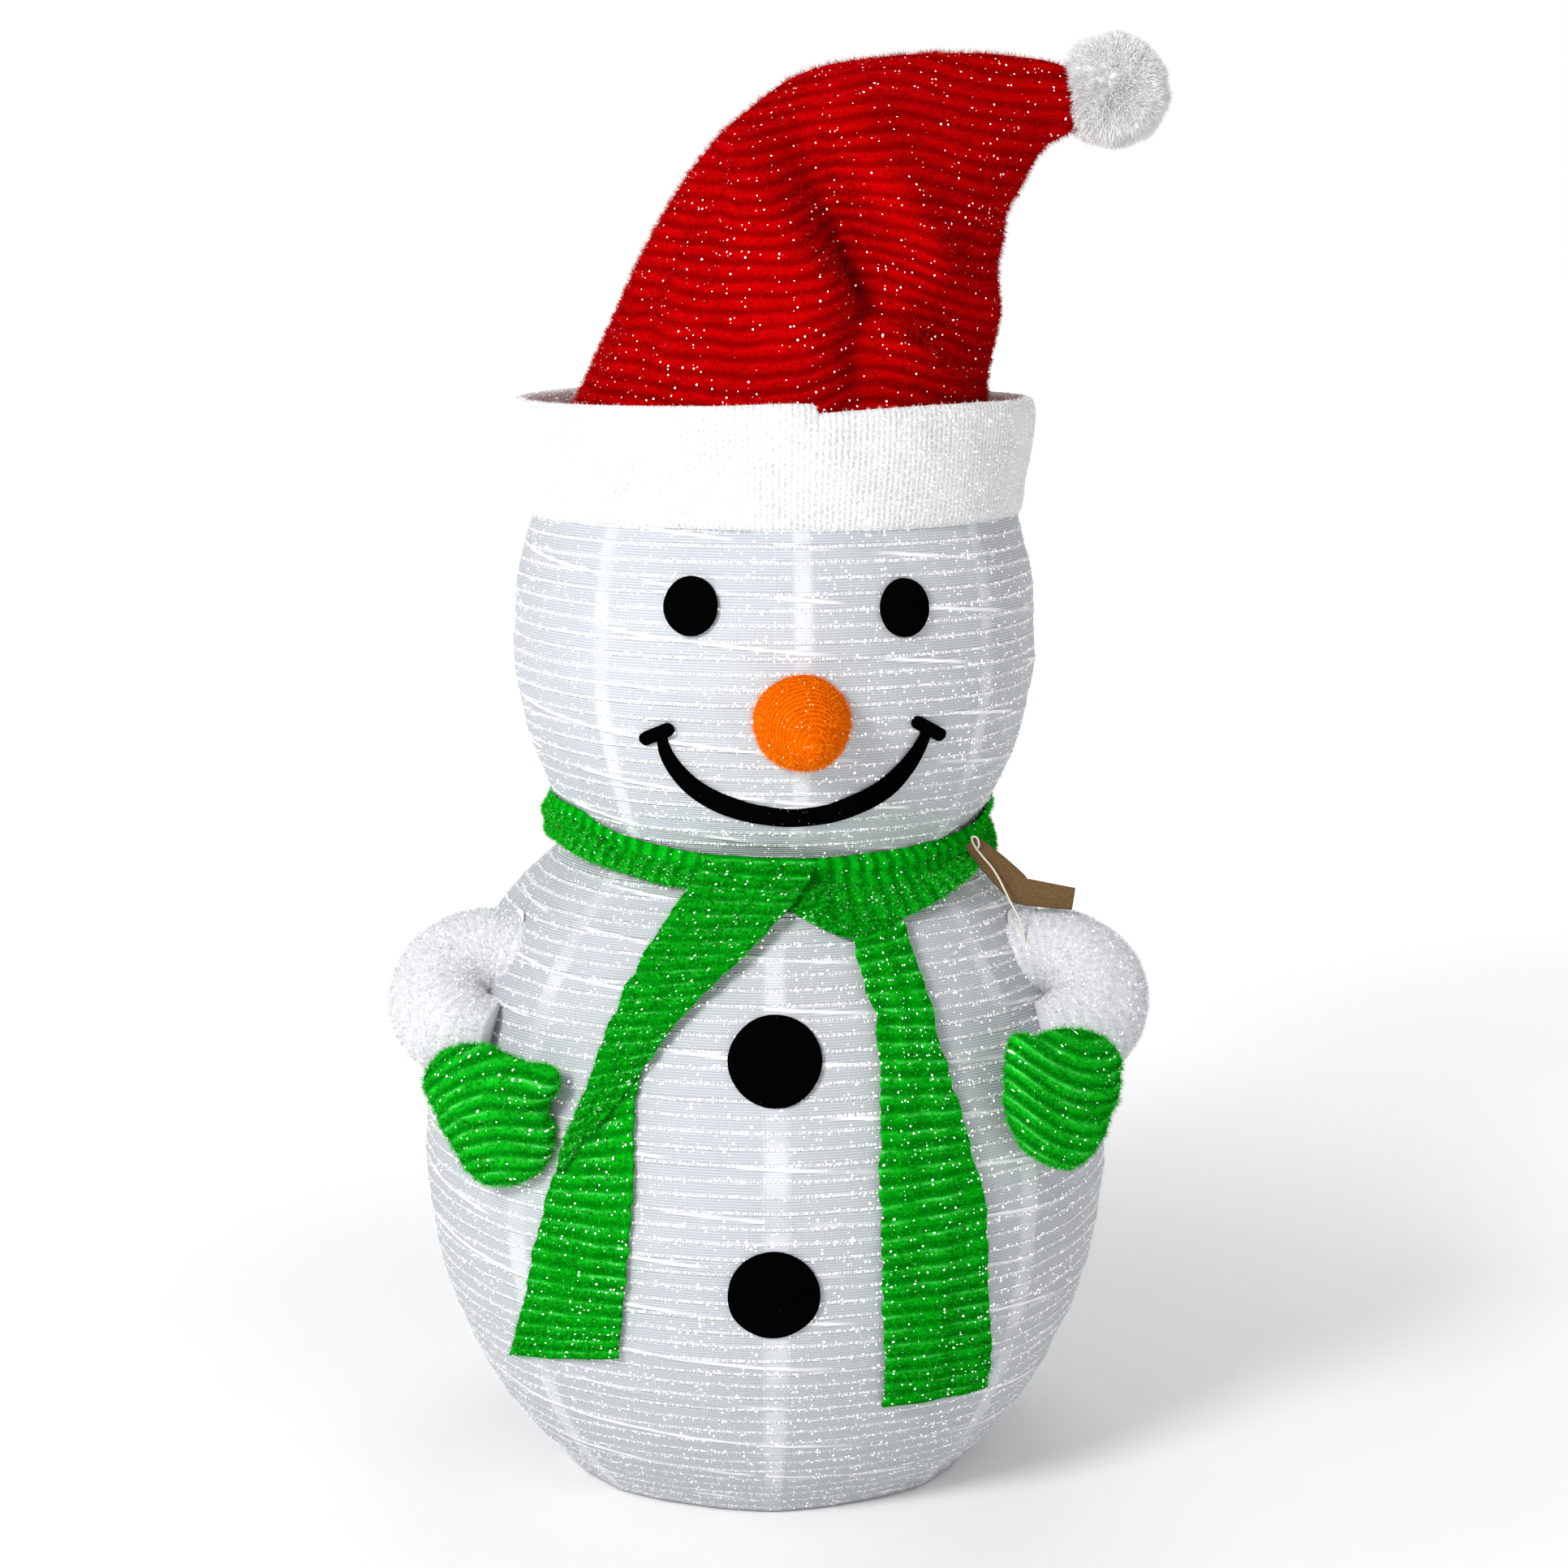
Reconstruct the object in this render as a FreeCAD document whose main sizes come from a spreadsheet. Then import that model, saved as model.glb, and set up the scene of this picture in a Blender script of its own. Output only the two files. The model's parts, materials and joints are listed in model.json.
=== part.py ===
import FreeCAD, Part
import math
import os

# Yard snowman that folds flat: a pole on crossed foot bars carries a spring-wire body and head
# under gored cloth covers, with felt trim, a knotted scarf, stuffed arms and a floppy hat.
# Frame: origin on the floor under the pole, +Z up, -Y towards the face, millimetres.
# An azimuth is counted from the face (-Y) towards +X.

DIMS = {
    # covers: each is one arc turned about the pole
    "body_arc": 350.0, "body_off": 73.0, "body_mid": 255.0,
    "head_arc": 290.0, "head_off": 82.0, "head_mid": 683.0,
    "cover_wall": 1.5, "trim_gap": 0.4,
    "body_hem": 1.0, "body_top": 510.0, "head_hem": 518.6, "head_top": 856.0,
    "seam_count": 8.0, "tape_wide": 3.2, "tape_wall": 0.8, "tape_gap": 0.2,
    # spring coils
    "wire": 1.5, "body_coil_z": 20.0, "body_coil_pitch": 39.5, "body_coil_turns": 12.0,
    "head_coil_z": 531.0, "head_coil_pitch": 42.0, "head_coil_turns": 7.0, "coil_inset": 4.6,
    # foot
    "bar_long": 300.0, "bar_wide": 22.0, "bar_thick": 3.0, "stake_circle": 268.0, "stake_hole": 3.5,
    "rivet_r": 4.0, "rivet_play": 0.05, "rivet_head": 7.0, "pad_long": 20.0,
    "base_ring_r": 158.0, "ring_wire": 2.5, "base_ring_z": 2.6,
    # pole
    "pole_r": 8.0, "pole_bore": 6.8, "spigot_r": 6.75, "spigot_long": 35.0,
    "pole_foot": 10.6, "joint_low": 380.0, "joint_high": 740.0, "pole_top": 1074.0,
    "socket_r": 10.5, "socket_bore": 8.05, "socket_top": 68.0,
    "cap_r": 9.5, "cap_long": 22.0, "cap_over": 4.0,
    # neck and crown
    "neck_z": 512.0, "neck_r": 157.0, "band_r": 6.0, "guide_r": 14.0, "guide_bore": 8.3,
    "crown_z": 856.0, "crown_r": 146.0, "spoke_r": 2.5, "collar_r": 15.0, "collar_bore": 8.08,
    "collar_low": 848.0, "collar_high": 880.0, "screw_z": 873.0, "screw_r": 3.0,
    "cloth_z": 859.0, "cloth_wall": 1.2, "cloth_hole": 17.0, "cloth_r": 147.0,
    # felt and stuffed trim
    "eye_r": 21.0, "felt": 3.0, "button_r": 35.0, "button_thick": 5.0,
    "mouth_in": 105.5, "mouth_out": 118.5, "mouth_x": 20.0, "mouth_z": 671.0,
    "nose_r": 35.0, "nose_long": 80.0, "nose_tip": 5.0, "nose_wall": 1.6,
    # scarf
    "scarf_ring": 167.0, "scarf_r": 16.0, "scarf_z": 522.0, "tail_thick": 6.0, "knot_r": 25.0,
    "knot_half": 42.0,
    # arms
    "arm_bend": 50.0, "arm_r": 36.0, "arm_wall": 1.5, "mitten_r": 55.0, "mitten_deep": 18.0,
    "thumb_r": 12.0,
    # hat
    "cuff_r": 208.5, "cuff_wall": 6.5, "cuff_low": 777.0, "cuff_high": 867.0, "hat_wall": 2.5,
    "pompom_r": 46.0, "pompom_x": 283.0, "pompom_z": 1105.0,
    # hang tag
    "tag_wide": 19.0, "tag_thick": 0.6, "tag_leg": 52.0, "twine_r": 0.8,
}

doc = FreeCAD.newDocument("yard_snowman")
sheet = doc.addObject("Spreadsheet::Sheet", "dims")
for row, (alias, number) in enumerate(DIMS.items(), start=1):
    sheet.set("A%d" % row, alias)
    sheet.set("B%d" % row, repr(number))
    sheet.setAlias("B%d" % row, alias)
doc.recompute()

Z_AXIS = FreeCAD.Vector(0, 0, 1)
nodes = []


def size(alias):
    return DIMS[alias]


def vec(x, y, z):
    return FreeCAD.Vector(x, y, z)


def bind(thing, **texts):
    for prop, text in texts.items():
        thing.setExpression(prop, text)
    return thing


def place(thing, base=None, turn=None):
    thing.Placement = FreeCAD.Placement(base or vec(0, 0, 0), turn or FreeCAD.Rotation())
    return thing


def keep(thing, label):
    thing.Label = label
    nodes.append(thing)
    return thing


def make(kind, name):
    return doc.addObject("Part::" + kind, name)


def cylinder(name, radius, height, base=None, turn=None):
    return place(bind(make("Cylinder", name), Radius=radius, Height=height), base, turn)


def box(name, length, width, height, base=None, turn=None):
    return place(bind(make("Box", name), Length=length, Width=width, Height=height), base, turn)


def ring(name, radius, wire, base=None, turn=None):
    return place(bind(make("Torus", name), Radius1=radius, Radius2=wire), base, turn)


def cut(name, base, *tools):
    result = base
    for index, tool in enumerate(tools):
        step = make("Cut", "%s_cut%d" % (name, index))
        step.Base = result
        step.Tool = tool
        result = step
    return result


def fuse(name, *shapes):
    result = make("MultiFuse", name)
    result.Shapes = list(shapes)
    return result


def common(name, one, other):
    result = make("MultiCommon", name)
    result.Shapes = [one, other]
    return result


def group(name, *shapes):
    result = make("Compound", name)
    result.Links = list(shapes)
    return result


def azimuth(degrees, radius, height):
    angle = math.radians(degrees)
    return vec(radius * math.sin(angle), -radius * math.cos(angle), height)


def profile_radius(part, height, extra=0.0):
    arc = size(part + "_arc") + extra
    return math.sqrt(arc * arc - (height - size(part + "_mid")) ** 2) - size(part + "_off")


def profile_text(part, height, inset):
    arc = "(dims.%s_arc - %s)" % (part, inset)
    rise = "(%s - dims.%s_mid)" % (height, part)
    return "sqrt(%s * %s - %s * %s) - dims.%s_off" % (arc, arc, rise, rise, part)


def lemon(name, part, outer, inner, low, high, start=0.0, sweep=360.0):
    """A cover-shaped solid between two heights; inner None fills it to the pole axis.

    outer and inner are texts added to the cover's arc radius; low and high are (number, text).
    """
    sketch = doc.addObject("Sketcher::SketchObject", name + "_sketch")
    upright = FreeCAD.Rotation(vec(1, 0, 0), 90)
    sketch.Placement = FreeCAD.Placement(vec(0, 0, 0), FreeCAD.Rotation(Z_AXIS, start - 90).multiply(upright))
    centre = vec(-size(part + "_off"), size(part + "_mid"), 0)
    arc = size(part + "_arc")

    def add_arc(extra):
        radius = arc + extra
        first = math.asin((low[0] - centre.y) / radius)
        last = math.asin((high[0] - centre.y) / radius)
        circle = Part.Circle(centre, vec(0, 0, 1), radius)
        return sketch.addGeometry(Part.ArcOfCircle(circle, first, last), False), first, last, radius

    def point_on(angle, radius):
        return vec(centre.x + radius * math.cos(angle), centre.y + radius * math.sin(angle), 0)

    def constrain(*words, text=None):
        index = sketch.addConstraint(Sketcher.Constraint(*words))
        if text:
            sketch.setExpression("Constraints[%d]" % index, text)

    def pin_arc(index, radius, text):
        constrain("Radius", index, radius, text="dims.%s_arc + %s" % (part, text))

    def add_halves(extra):
        """One arc, or for a whole turn two that meet at the widest level; returns the low and high arcs."""
        index, begin, end, radius = add_arc(extra)
        if inner is None or sweep < 360 or not low[0] < centre.y < high[0]:
            return index, index, begin, end, radius
        sketch.delGeometry(index)
        circle = Part.Circle(centre, vec(0, 0, 1), radius)
        low_arc = sketch.addGeometry(Part.ArcOfCircle(circle, begin, 0.0), False)
        high_arc = sketch.addGeometry(Part.ArcOfCircle(circle, 0.0, end), False)
        constrain("Coincident", high_arc, 3, low_arc, 3)
        constrain("Coincident", high_arc, 1, low_arc, 2)
        constrain("Horizontal", low_arc, 2, low_arc, 3)
        return low_arc, high_arc, begin, end, radius

    outside, outside_high, first, last, radius = add_halves(outer[0])
    top_out = point_on(last, radius)
    low_out = point_on(first, radius)
    if inner is None:
        top_in = vec(0, high[0], 0)
        low_in = vec(0, low[0], 0)
    else:
        inside, inside_high, in_first, in_last, in_radius = add_halves(inner[0])
        top_in = point_on(in_last, in_radius)
        low_in = point_on(in_first, in_radius)
    top = sketch.addGeometry(Part.LineSegment(top_out, top_in), False)
    bottom = sketch.addGeometry(Part.LineSegment(low_out, low_in), False)
    constrain("DistanceX", outside, 3, -1, 1, size(part + "_off"), text="dims.%s_off" % part)
    constrain("DistanceY", -1, 1, outside, 3, size(part + "_mid"), text="dims.%s_mid" % part)
    pin_arc(outside, radius, outer[1])
    constrain("Coincident", outside_high, 2, top, 1)
    constrain("Coincident", outside, 1, bottom, 1)
    constrain("Horizontal", top)
    constrain("Horizontal", bottom)
    constrain("DistanceY", -1, 1, top, 1, high[0], text=high[1])
    constrain("DistanceY", -1, 1, bottom, 1, low[0], text=low[1])
    if inner is None:
        axis = sketch.addGeometry(Part.LineSegment(top_in, low_in), False)
        constrain("Coincident", top, 2, axis, 1)
        constrain("Coincident", bottom, 2, axis, 2)
        constrain("PointOnObject", axis, 1, -2)
        constrain("PointOnObject", axis, 2, -2)
    else:
        constrain("Coincident", inside, 3, outside, 3)
        pin_arc(inside, in_radius, inner[1])
        constrain("Coincident", inside_high, 2, top, 2)
        constrain("Coincident", inside, 1, bottom, 2)
    turned = make("Revolution", name)
    turned.Source = sketch
    turned.Axis = Z_AXIS
    turned.Base = vec(0, 0, 0)
    turned.Angle = sweep
    turned.Solid = True
    return turned


import Sketcher

NONE = (0.0, "0")
WALL = (-size("cover_wall"), "-dims.cover_wall")
CLEAR = (size("trim_gap"), "dims.trim_gap")


def level(alias):
    return (size(alias), "dims." + alias)


def fixed(number):
    return (number, repr(number))


# ---- foot: two flat bars on one rivet, the lower one folds in under the upper one ----

bar_t = size("bar_thick")


def foot_bar(name, height, turn):
    half_long = size("bar_long") / 2
    half_wide = size("bar_wide") / 2
    plate = box(name + "_plate", "dims.bar_long", "dims.bar_wide", "dims.bar_thick",
                vec(-half_long, -half_wide, height))
    holes = [cylinder(name + "_rivet_hole", "dims.rivet_r + dims.rivet_play", "dims.bar_thick + 2",
                      vec(0, 0, height - 1))]
    for side in (-1, 1):
        spot = vec(side * size("stake_circle") / 2, 0, height - 1)
        holes.append(cylinder(name + "_stake%d" % (side + 1), "dims.stake_hole", "dims.bar_thick + 2", spot))
    if height < 1:
        holes.append(cylinder(name + "_sink", "dims.rivet_head", "1.4", vec(0, 0, height - 0.1)))
    bar = cut(name, plate, *holes)
    bar.Placement = FreeCAD.Placement(vec(0, 0, 0), FreeCAD.Rotation(Z_AXIS, turn))
    return keep(bar, name)


foot_bar("foot_bar_upper", bar_t + 0.05, 0)
foot_bar("foot_bar_lower", 0.0, 90)

pads = []
for side in (-1, 1):
    reach = size("bar_long") / 2 - size("pad_long")
    corner = vec(reach if side > 0 else -reach - size("pad_long"), -size("bar_wide") / 2, 0)
    pad = box("pad%d" % (side + 1), "dims.pad_long", "dims.bar_wide", "dims.bar_thick + 0.05", corner)
    spot = vec(side * size("stake_circle") / 2, 0, -1)
    hole = cylinder("pad_hole%d" % (side + 1), "dims.stake_hole + 0.6", "dims.bar_thick + 2", spot)
    pads.append(cut("pad_cut%d" % (side + 1), pad, hole))
keep(group("foot_pads", *pads), "foot_pads")

plate_z = 2 * bar_t + 0.05
shank = cylinder("rivet_shank", "dims.rivet_r", "%g" % (plate_z + 2.2), vec(0, 0, 0))
low_head = cylinder("rivet_low_head", "dims.rivet_head - 0.3", "1.1", vec(0, 0, 0))
top_head = cylinder("rivet_top_head", "dims.rivet_head", "2", vec(0, 0, plate_z + 2.0))
keep(fuse("foot_rivet", shank, low_head, top_head), "foot_rivet")

flange = cylinder("socket_flange", "dims.socket_r * 2", "2", vec(0, 0, plate_z))
sleeve = cylinder("socket_sleeve", "dims.socket_r", "dims.socket_top - %g" % (plate_z + 1), vec(0, 0, plate_z + 1))
bore = cylinder("socket_bore", "dims.socket_bore", "dims.socket_top", vec(0, 0, plate_z + 2.0))
eye = cylinder("socket_eye", "dims.rivet_r", "6", vec(0, 0, plate_z - 1))
keep(cut("pole_socket", fuse("socket_blank", flange, sleeve), bore, eye), "pole_socket")

ring_base = ring("base_ring", "dims.base_ring_r", "dims.ring_wire", vec(0, 0, size("base_ring_z")))
bind(ring_base, **{"Placement.Base.z": "dims.base_ring_z"})
keep(ring_base, "base_ring")

clips = []
for side in (-1, 1):
    turn = FreeCAD.Rotation(Z_AXIS, 0 if side > 0 else 180)
    top = size("base_ring_z") + size("ring_wire") + 0.95
    plate = box("clip_plate%d" % (side + 1), "25", "12", "2.4", turn.multVec(vec(138.2, -6, top + 0.0)), turn)
    lip = box("clip_lip%d" % (side + 1), "1.9", "12", "4.4", turn.multVec(vec(161.3, -6, top - 4.0)), turn)
    clips.append(fuse("clip%d" % (side + 1), plate, lip))
keep(group("ring_clips", *clips), "ring_clips")

# ---- pole: three tubes that plug together ----


def pole_section(name, low, high, spigot, low_shift="0"):
    tall = "dims.%s - dims.%s" % (high, low)
    start = vec(0, 0, size(low))
    tube = cylinder(name + "_tube", "dims.pole_r", tall, start)
    if spigot:
        neck = cylinder(name + "_spigot", "dims.spigot_r", "%s + dims.spigot_long" % tall, start)
        tube = fuse(name + "_blank", tube, neck)
    hollow = cylinder(name + "_hollow", "dims.pole_bore", "%s - 8" % tall if spigot else tall, start)
    tools = [hollow]
    if spigot:
        through = "%s + dims.spigot_long + 2" % tall
        tools.append(cylinder(name + "_through", "dims.spigot_r - 1.2", through, start))
    section = cut(name, tube, *tools)
    return keep(section, name)


pole_section("pole_lower", "pole_foot", "joint_low", True)
pole_section("pole_middle", "joint_low", "joint_high", True)
pole_section("pole_upper", "joint_high", "pole_top", False)

cap = cylinder("cap_blank", "dims.cap_r", "dims.cap_long", vec(0, 0, size("pole_top") + size("cap_over") - size("cap_long")))
cap_bore = cylinder("cap_bore", "dims.pole_r", "dims.cap_long",
                    vec(0, 0, size("pole_top") - size("cap_long")))
keep(cut("pole_cap", cap, cap_bore), "pole_cap")

# ---- covers, seam tapes and spring coils ----

keep(lemon("body_cover", "body", NONE, WALL, level("body_hem"), level("body_top")), "body_cover")
keep(lemon("head_cover", "head", NONE, WALL, level("head_hem"), level("head_top")), "head_cover")


def seam_tapes(part, low, high, first_seam):
    outer = -size("cover_wall") - size("tape_gap")
    outer_text = "-dims.cover_wall - dims.tape_gap"
    inner = outer - size("tape_wall")
    tapes = []
    count = int(size("seam_count"))
    for index in range(count):
        start = first_seam + index * 360.0 / count - size("tape_wide") / 2
        tapes.append(lemon("%s_tape%d" % (part, index), part, (outer, outer_text),
                           (inner, outer_text + " - dims.tape_wall"), fixed(low), fixed(high),
                           start, size("tape_wide")))
    return keep(group(part + "_seam_tapes", *tapes), part + "_seam_tapes")


seam_tapes("body", 12.0, 503.0, 2.0)
seam_tapes("head", 524.0, 845.0, 6.0)


def spring_coil(part):
    """Half turns whose planes tilt by the pitch, so each meets the next tangentially."""
    pitch = size(part + "_coil_pitch")
    start = size(part + "_coil_z")
    halves = []

    def end_radius(index):
        return profile_radius(part, start + index * pitch / 2, -size("coil_inset"))

    def end_text(index):
        height = "(dims.%s_coil_z + %d * dims.%s_coil_pitch / 2)" % (part, index, part)
        return "(%s)" % profile_text(part, height, "dims.coil_inset")

    for index in range(int(2 * size(part + "_coil_turns"))):
        r_start = end_radius(index)
        r_end = end_radius(index + 1)
        span = (r_start + r_end) / 2
        tilt = math.degrees(math.atan2(pitch / 4, span))
        side = 1 if index % 2 == 0 else -1
        turn = FreeCAD.Rotation(Z_AXIS, 0 if side > 0 else 180).multiply(FreeCAD.Rotation(vec(0, 1, 0), tilt))
        base = vec(side * (r_start - r_end) / 2, 0, start + (index + 0.5) * pitch / 2)
        half = ring("%s_half%d" % (part, index), "0", "dims.wire", base, turn)
        reach = "(%s + %s) / 2" % (end_text(index), end_text(index + 1))
        bind(half, Radius1="sqrt((%s) * (%s) + pow(dims.%s_coil_pitch / 4; 2))" % (reach, reach, part))
        half.Angle3 = 180
        halves.append(half)
    return keep(fuse(part + "_coil", *halves), part + "_coil")


spring_coil("body")
spring_coil("head")

# ---- neck ring with its guide on the pole ----

neck_z = size("neck_z")
keep(ring("neck_ring", "dims.neck_r", "dims.ring_wire", vec(0, 0, neck_z)), "neck_ring")
band = ring("band_outer", "dims.neck_r", "dims.band_r", vec(0, 0, neck_z))
band_core = ring("band_core", "dims.neck_r", "dims.ring_wire", vec(0, 0, neck_z))
keep(cut("neck_band", band, band_core), "neck_band")


def spider(name, count, first, height, radius, wire, start, end):
    rods = []
    for index in range(count):
        angle = first + index * 360.0 / count
        turn = FreeCAD.Rotation(Z_AXIS, angle).multiply(FreeCAD.Rotation(vec(0, 1, 0), 90))
        spot = FreeCAD.Rotation(Z_AXIS, angle).multVec(vec(start, 0, height))
        rods.append(cylinder("%s%d" % (name, index), wire, "%s - (%s)" % (end, radius), spot, turn))
    return rods


guide = cylinder("guide_body", "dims.guide_r", "14", vec(0, 0, neck_z - 7))
guide_rods = spider("guide_rod", 3, 30, neck_z, "dims.guide_r + 1", "1.5", size("guide_r") - 1,
                    "dims.neck_r - dims.ring_wire - 0.1 + 2")
guide_hole = cylinder("guide_hole", "dims.guide_bore", "20", vec(0, 0, neck_z - 10))
keep(cut("neck_guide", fuse("guide_blank", guide, *guide_rods), guide_hole), "neck_guide")

# ---- crown: ring, spokes, clamping collar with a wing screw, and the cloth over them ----

crown_z = size("crown_z")
keep(ring("crown_ring", "dims.crown_r", "dims.ring_wire", vec(0, 0, crown_z)), "crown_ring")
spokes = spider("crown_spoke", 4, 45, crown_z, "dims.collar_r + 0.1", "dims.spoke_r - 0.5",
                size("collar_r") + 0.1, "dims.crown_r - dims.ring_wire - 0.1")
keep(group("crown_spokes", *spokes), "crown_spokes")

collar = cylinder("collar_blank", "dims.collar_r", "dims.collar_high - dims.collar_low", vec(0, 0, size("collar_low")))
collar_hole = cylinder("collar_hole", "dims.collar_bore", "60", vec(0, 0, size("collar_low") - 10))
forward = FreeCAD.Rotation(vec(1, 0, 0), 90)
screw_hole = cylinder("screw_hole", "dims.screw_r + 0.05", "dims.collar_r + 5", vec(0, 0, size("screw_z")), forward)
keep(cut("crown_collar", collar, collar_hole, screw_hole), "crown_collar")

screw = cylinder("screw_shank", "dims.screw_r", "18", vec(0, -size("collar_bore") - 0.2, size("screw_z")), forward)
wing = box("screw_wing", "20", "13", "3", vec(-10, -size("collar_bore") - 30, size("screw_z") - 1.5))
keep(fuse("collar_screw", screw, wing), "collar_screw")

cloth = cylinder("cloth_disc", "dims.cloth_r", "dims.cloth_wall", vec(0, 0, size("cloth_z")))
cloth_hole = cylinder("cloth_centre", "dims.cloth_hole", "10", vec(0, 0, size("cloth_z") - 4))
keep(cut("crown_cloth", cloth, cloth_hole), "crown_cloth")

# ---- filled shapes just outside the covers, used to trim what lies on them ----

body_clear = lemon("body_clear", "body", CLEAR, None, fixed(0.5), level("body_top"), 167.0)
head_clear = lemon("head_clear", "head", CLEAR, None, fixed(512.0), level("head_top"), 167.0)

# ---- face and buttons ----


def on_cover(part, degrees, height, lift):
    """Point above the cover and the turn that sends local Z along its outward normal."""
    tilt = math.degrees(math.asin((height - size(part + "_mid")) / size(part + "_arc")))
    rise = lift * math.sin(math.radians(tilt))
    out = profile_radius(part, height) + lift * math.cos(math.radians(tilt))
    turn = FreeCAD.Rotation(Z_AXIS, degrees - 90).multiply(FreeCAD.Rotation(vec(0, 1, 0), 90 - tilt))
    return azimuth(degrees, out, height + rise), turn


def felt_disc(name, part, degrees, height, radius, thick):
    spot, turn = on_cover(part, degrees, height, size("trim_gap"))
    return keep(cylinder(name, radius, thick, spot, turn), name)


felt_disc("eye_left", "head", -16.0, 720.0, "dims.eye_r", "dims.felt")
felt_disc("eye_right", "head", 29.0, 720.0, "dims.eye_r", "dims.felt")
felt_disc("button_upper", "body", 1.7, 388.0, "dims.button_r", "dims.button_thick")
felt_disc("button_lower", "body", 1.0, 213.0, "dims.button_r", "dims.button_thick")

felt_shell = lemon("felt_shell", "head", (size("trim_gap") + size("felt"), "dims.trim_gap + dims.felt"),
                   CLEAR, fixed(540.0), fixed(650.0))
smile_x = size("mouth_x")
smile_z = size("mouth_z")
smile_out = cylinder("smile_out", "dims.mouth_out", "300", vec(smile_x, 0, smile_z), forward)
smile_in = cylinder("smile_in", "dims.mouth_in", "320", vec(smile_x, 10, smile_z), forward)
smile_top = box("smile_top", "400", "400", "200", vec(smile_x - 200, -350, 618.5))
smile = cut("smile_blank", smile_out, smile_in, smile_top)
keep(common("mouth", smile, felt_shell), "mouth")


def mouth_bar(name, centre_x, centre_z, slope):
    turn = FreeCAD.Rotation(vec(0, 1, 0), -slope)
    corner = turn.multVec(vec(-13, 0, -6))
    bar = box(name + "_blank", "26", "400", "12", vec(centre_x + corner.x, -400, centre_z + corner.z), turn)
    return common(name, bar, felt_shell)


bars = [mouth_bar("bar_left", -83.5, 629.5, 24.0), mouth_bar("bar_right", 120.5, 629.5, -24.0)]
keep(group("mouth_corners", *bars), "mouth_corners")


def nose_cone(name, inset):
    spot, turn = on_cover("head", 6.8, 637.0, -6.0)
    cone = make("Cone", name)
    bind(cone, Radius1="dims.nose_r - %g" % inset, Radius2="dims.nose_tip - %g" % (inset * 0.6),
         Height="dims.nose_long + 6 - %g" % (inset * 1.4))
    place(cone, spot, FreeCAD.Rotation(Z_AXIS, 6.8 - 90).multiply(FreeCAD.Rotation(vec(0, 1, 0), 90)))
    return cone


nose_wall = size("nose_wall")
keep(cut("nose_cover", nose_cone("nose_outer", 0.0), nose_cone("nose_inner", nose_wall), head_clear), "nose_cover")
keep(cut("nose_fill", nose_cone("nose_core", nose_wall + 0.2), head_clear), "nose_fill")

# ---- scarf: one round of the neck, a knot in front and two hanging tails ----


def tail_step(name, start, end, low, high):
    lift = size("trim_gap")
    thick = lift + size("tail_thick")
    return lemon(name, "body", (thick, "dims.trim_gap + dims.tail_thick"), CLEAR, fixed(low), fixed(high),
                 start, end - start)


tails = [
    tail_step("tail_left_low", -47.0, -26.0, 128.0, 252.0),
    tail_step("tail_left_mid", -39.0, -20.0, 250.0, 372.0),
    tail_step("tail_left_top", -29.0, -8.0, 370.0, 492.0),
    tail_step("tail_right_low", 21.0, 42.0, 98.0, 252.0),
    tail_step("tail_right_top", 18.0, 34.0, 250.0, 492.0),
]
wrap = ring("scarf_wrap", "dims.scarf_ring", "dims.scarf_r", vec(0, 0, size("scarf_z")))
sideways = FreeCAD.Rotation(vec(0, 1, 0), 90)
knot = cylinder("scarf_knot", "dims.knot_r", "2 * dims.knot_half", vec(12 - size("knot_half"), -184, 506), sideways)
knot_ends = [place(bind(make("Sphere", "knot_end%d" % side), Radius="dims.knot_r"),
                   vec(12 + (2 * side - 1) * size("knot_half"), -184, 506), sideways) for side in (0, 1)]
scarf_blank = fuse("scarf_blank", fuse("scarf_knot_whole", knot, *knot_ends), wrap, *tails)
neck_core = cylinder("neck_core", "dims.neck_r + dims.band_r + 1.5", "30", vec(0, 0, neck_z - 18))
keep(cut("scarf", scarf_blank, body_clear, head_clear, neck_core), "scarf")

# ---- arms: stuffed tubes bent like a C, a flat mitten on each ----


patch_shell = lemon("patch_shell", "body", (size("trim_gap") + 1.2, "dims.trim_gap + 1.2"), CLEAR,
                    fixed(370.0), fixed(505.0), 167.0)


def swing_clear(name, hinge, axis, degrees):
    """The cover as the arm meets it when swung up, so that its root never presses into the cover."""
    turn = FreeCAD.Rotation(axis, -degrees)
    return place(lemon(name, "body", CLEAR, None, fixed(0.5), level("body_top"), 167.0),
                 hinge - turn.multVec(hinge), turn)


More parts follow.
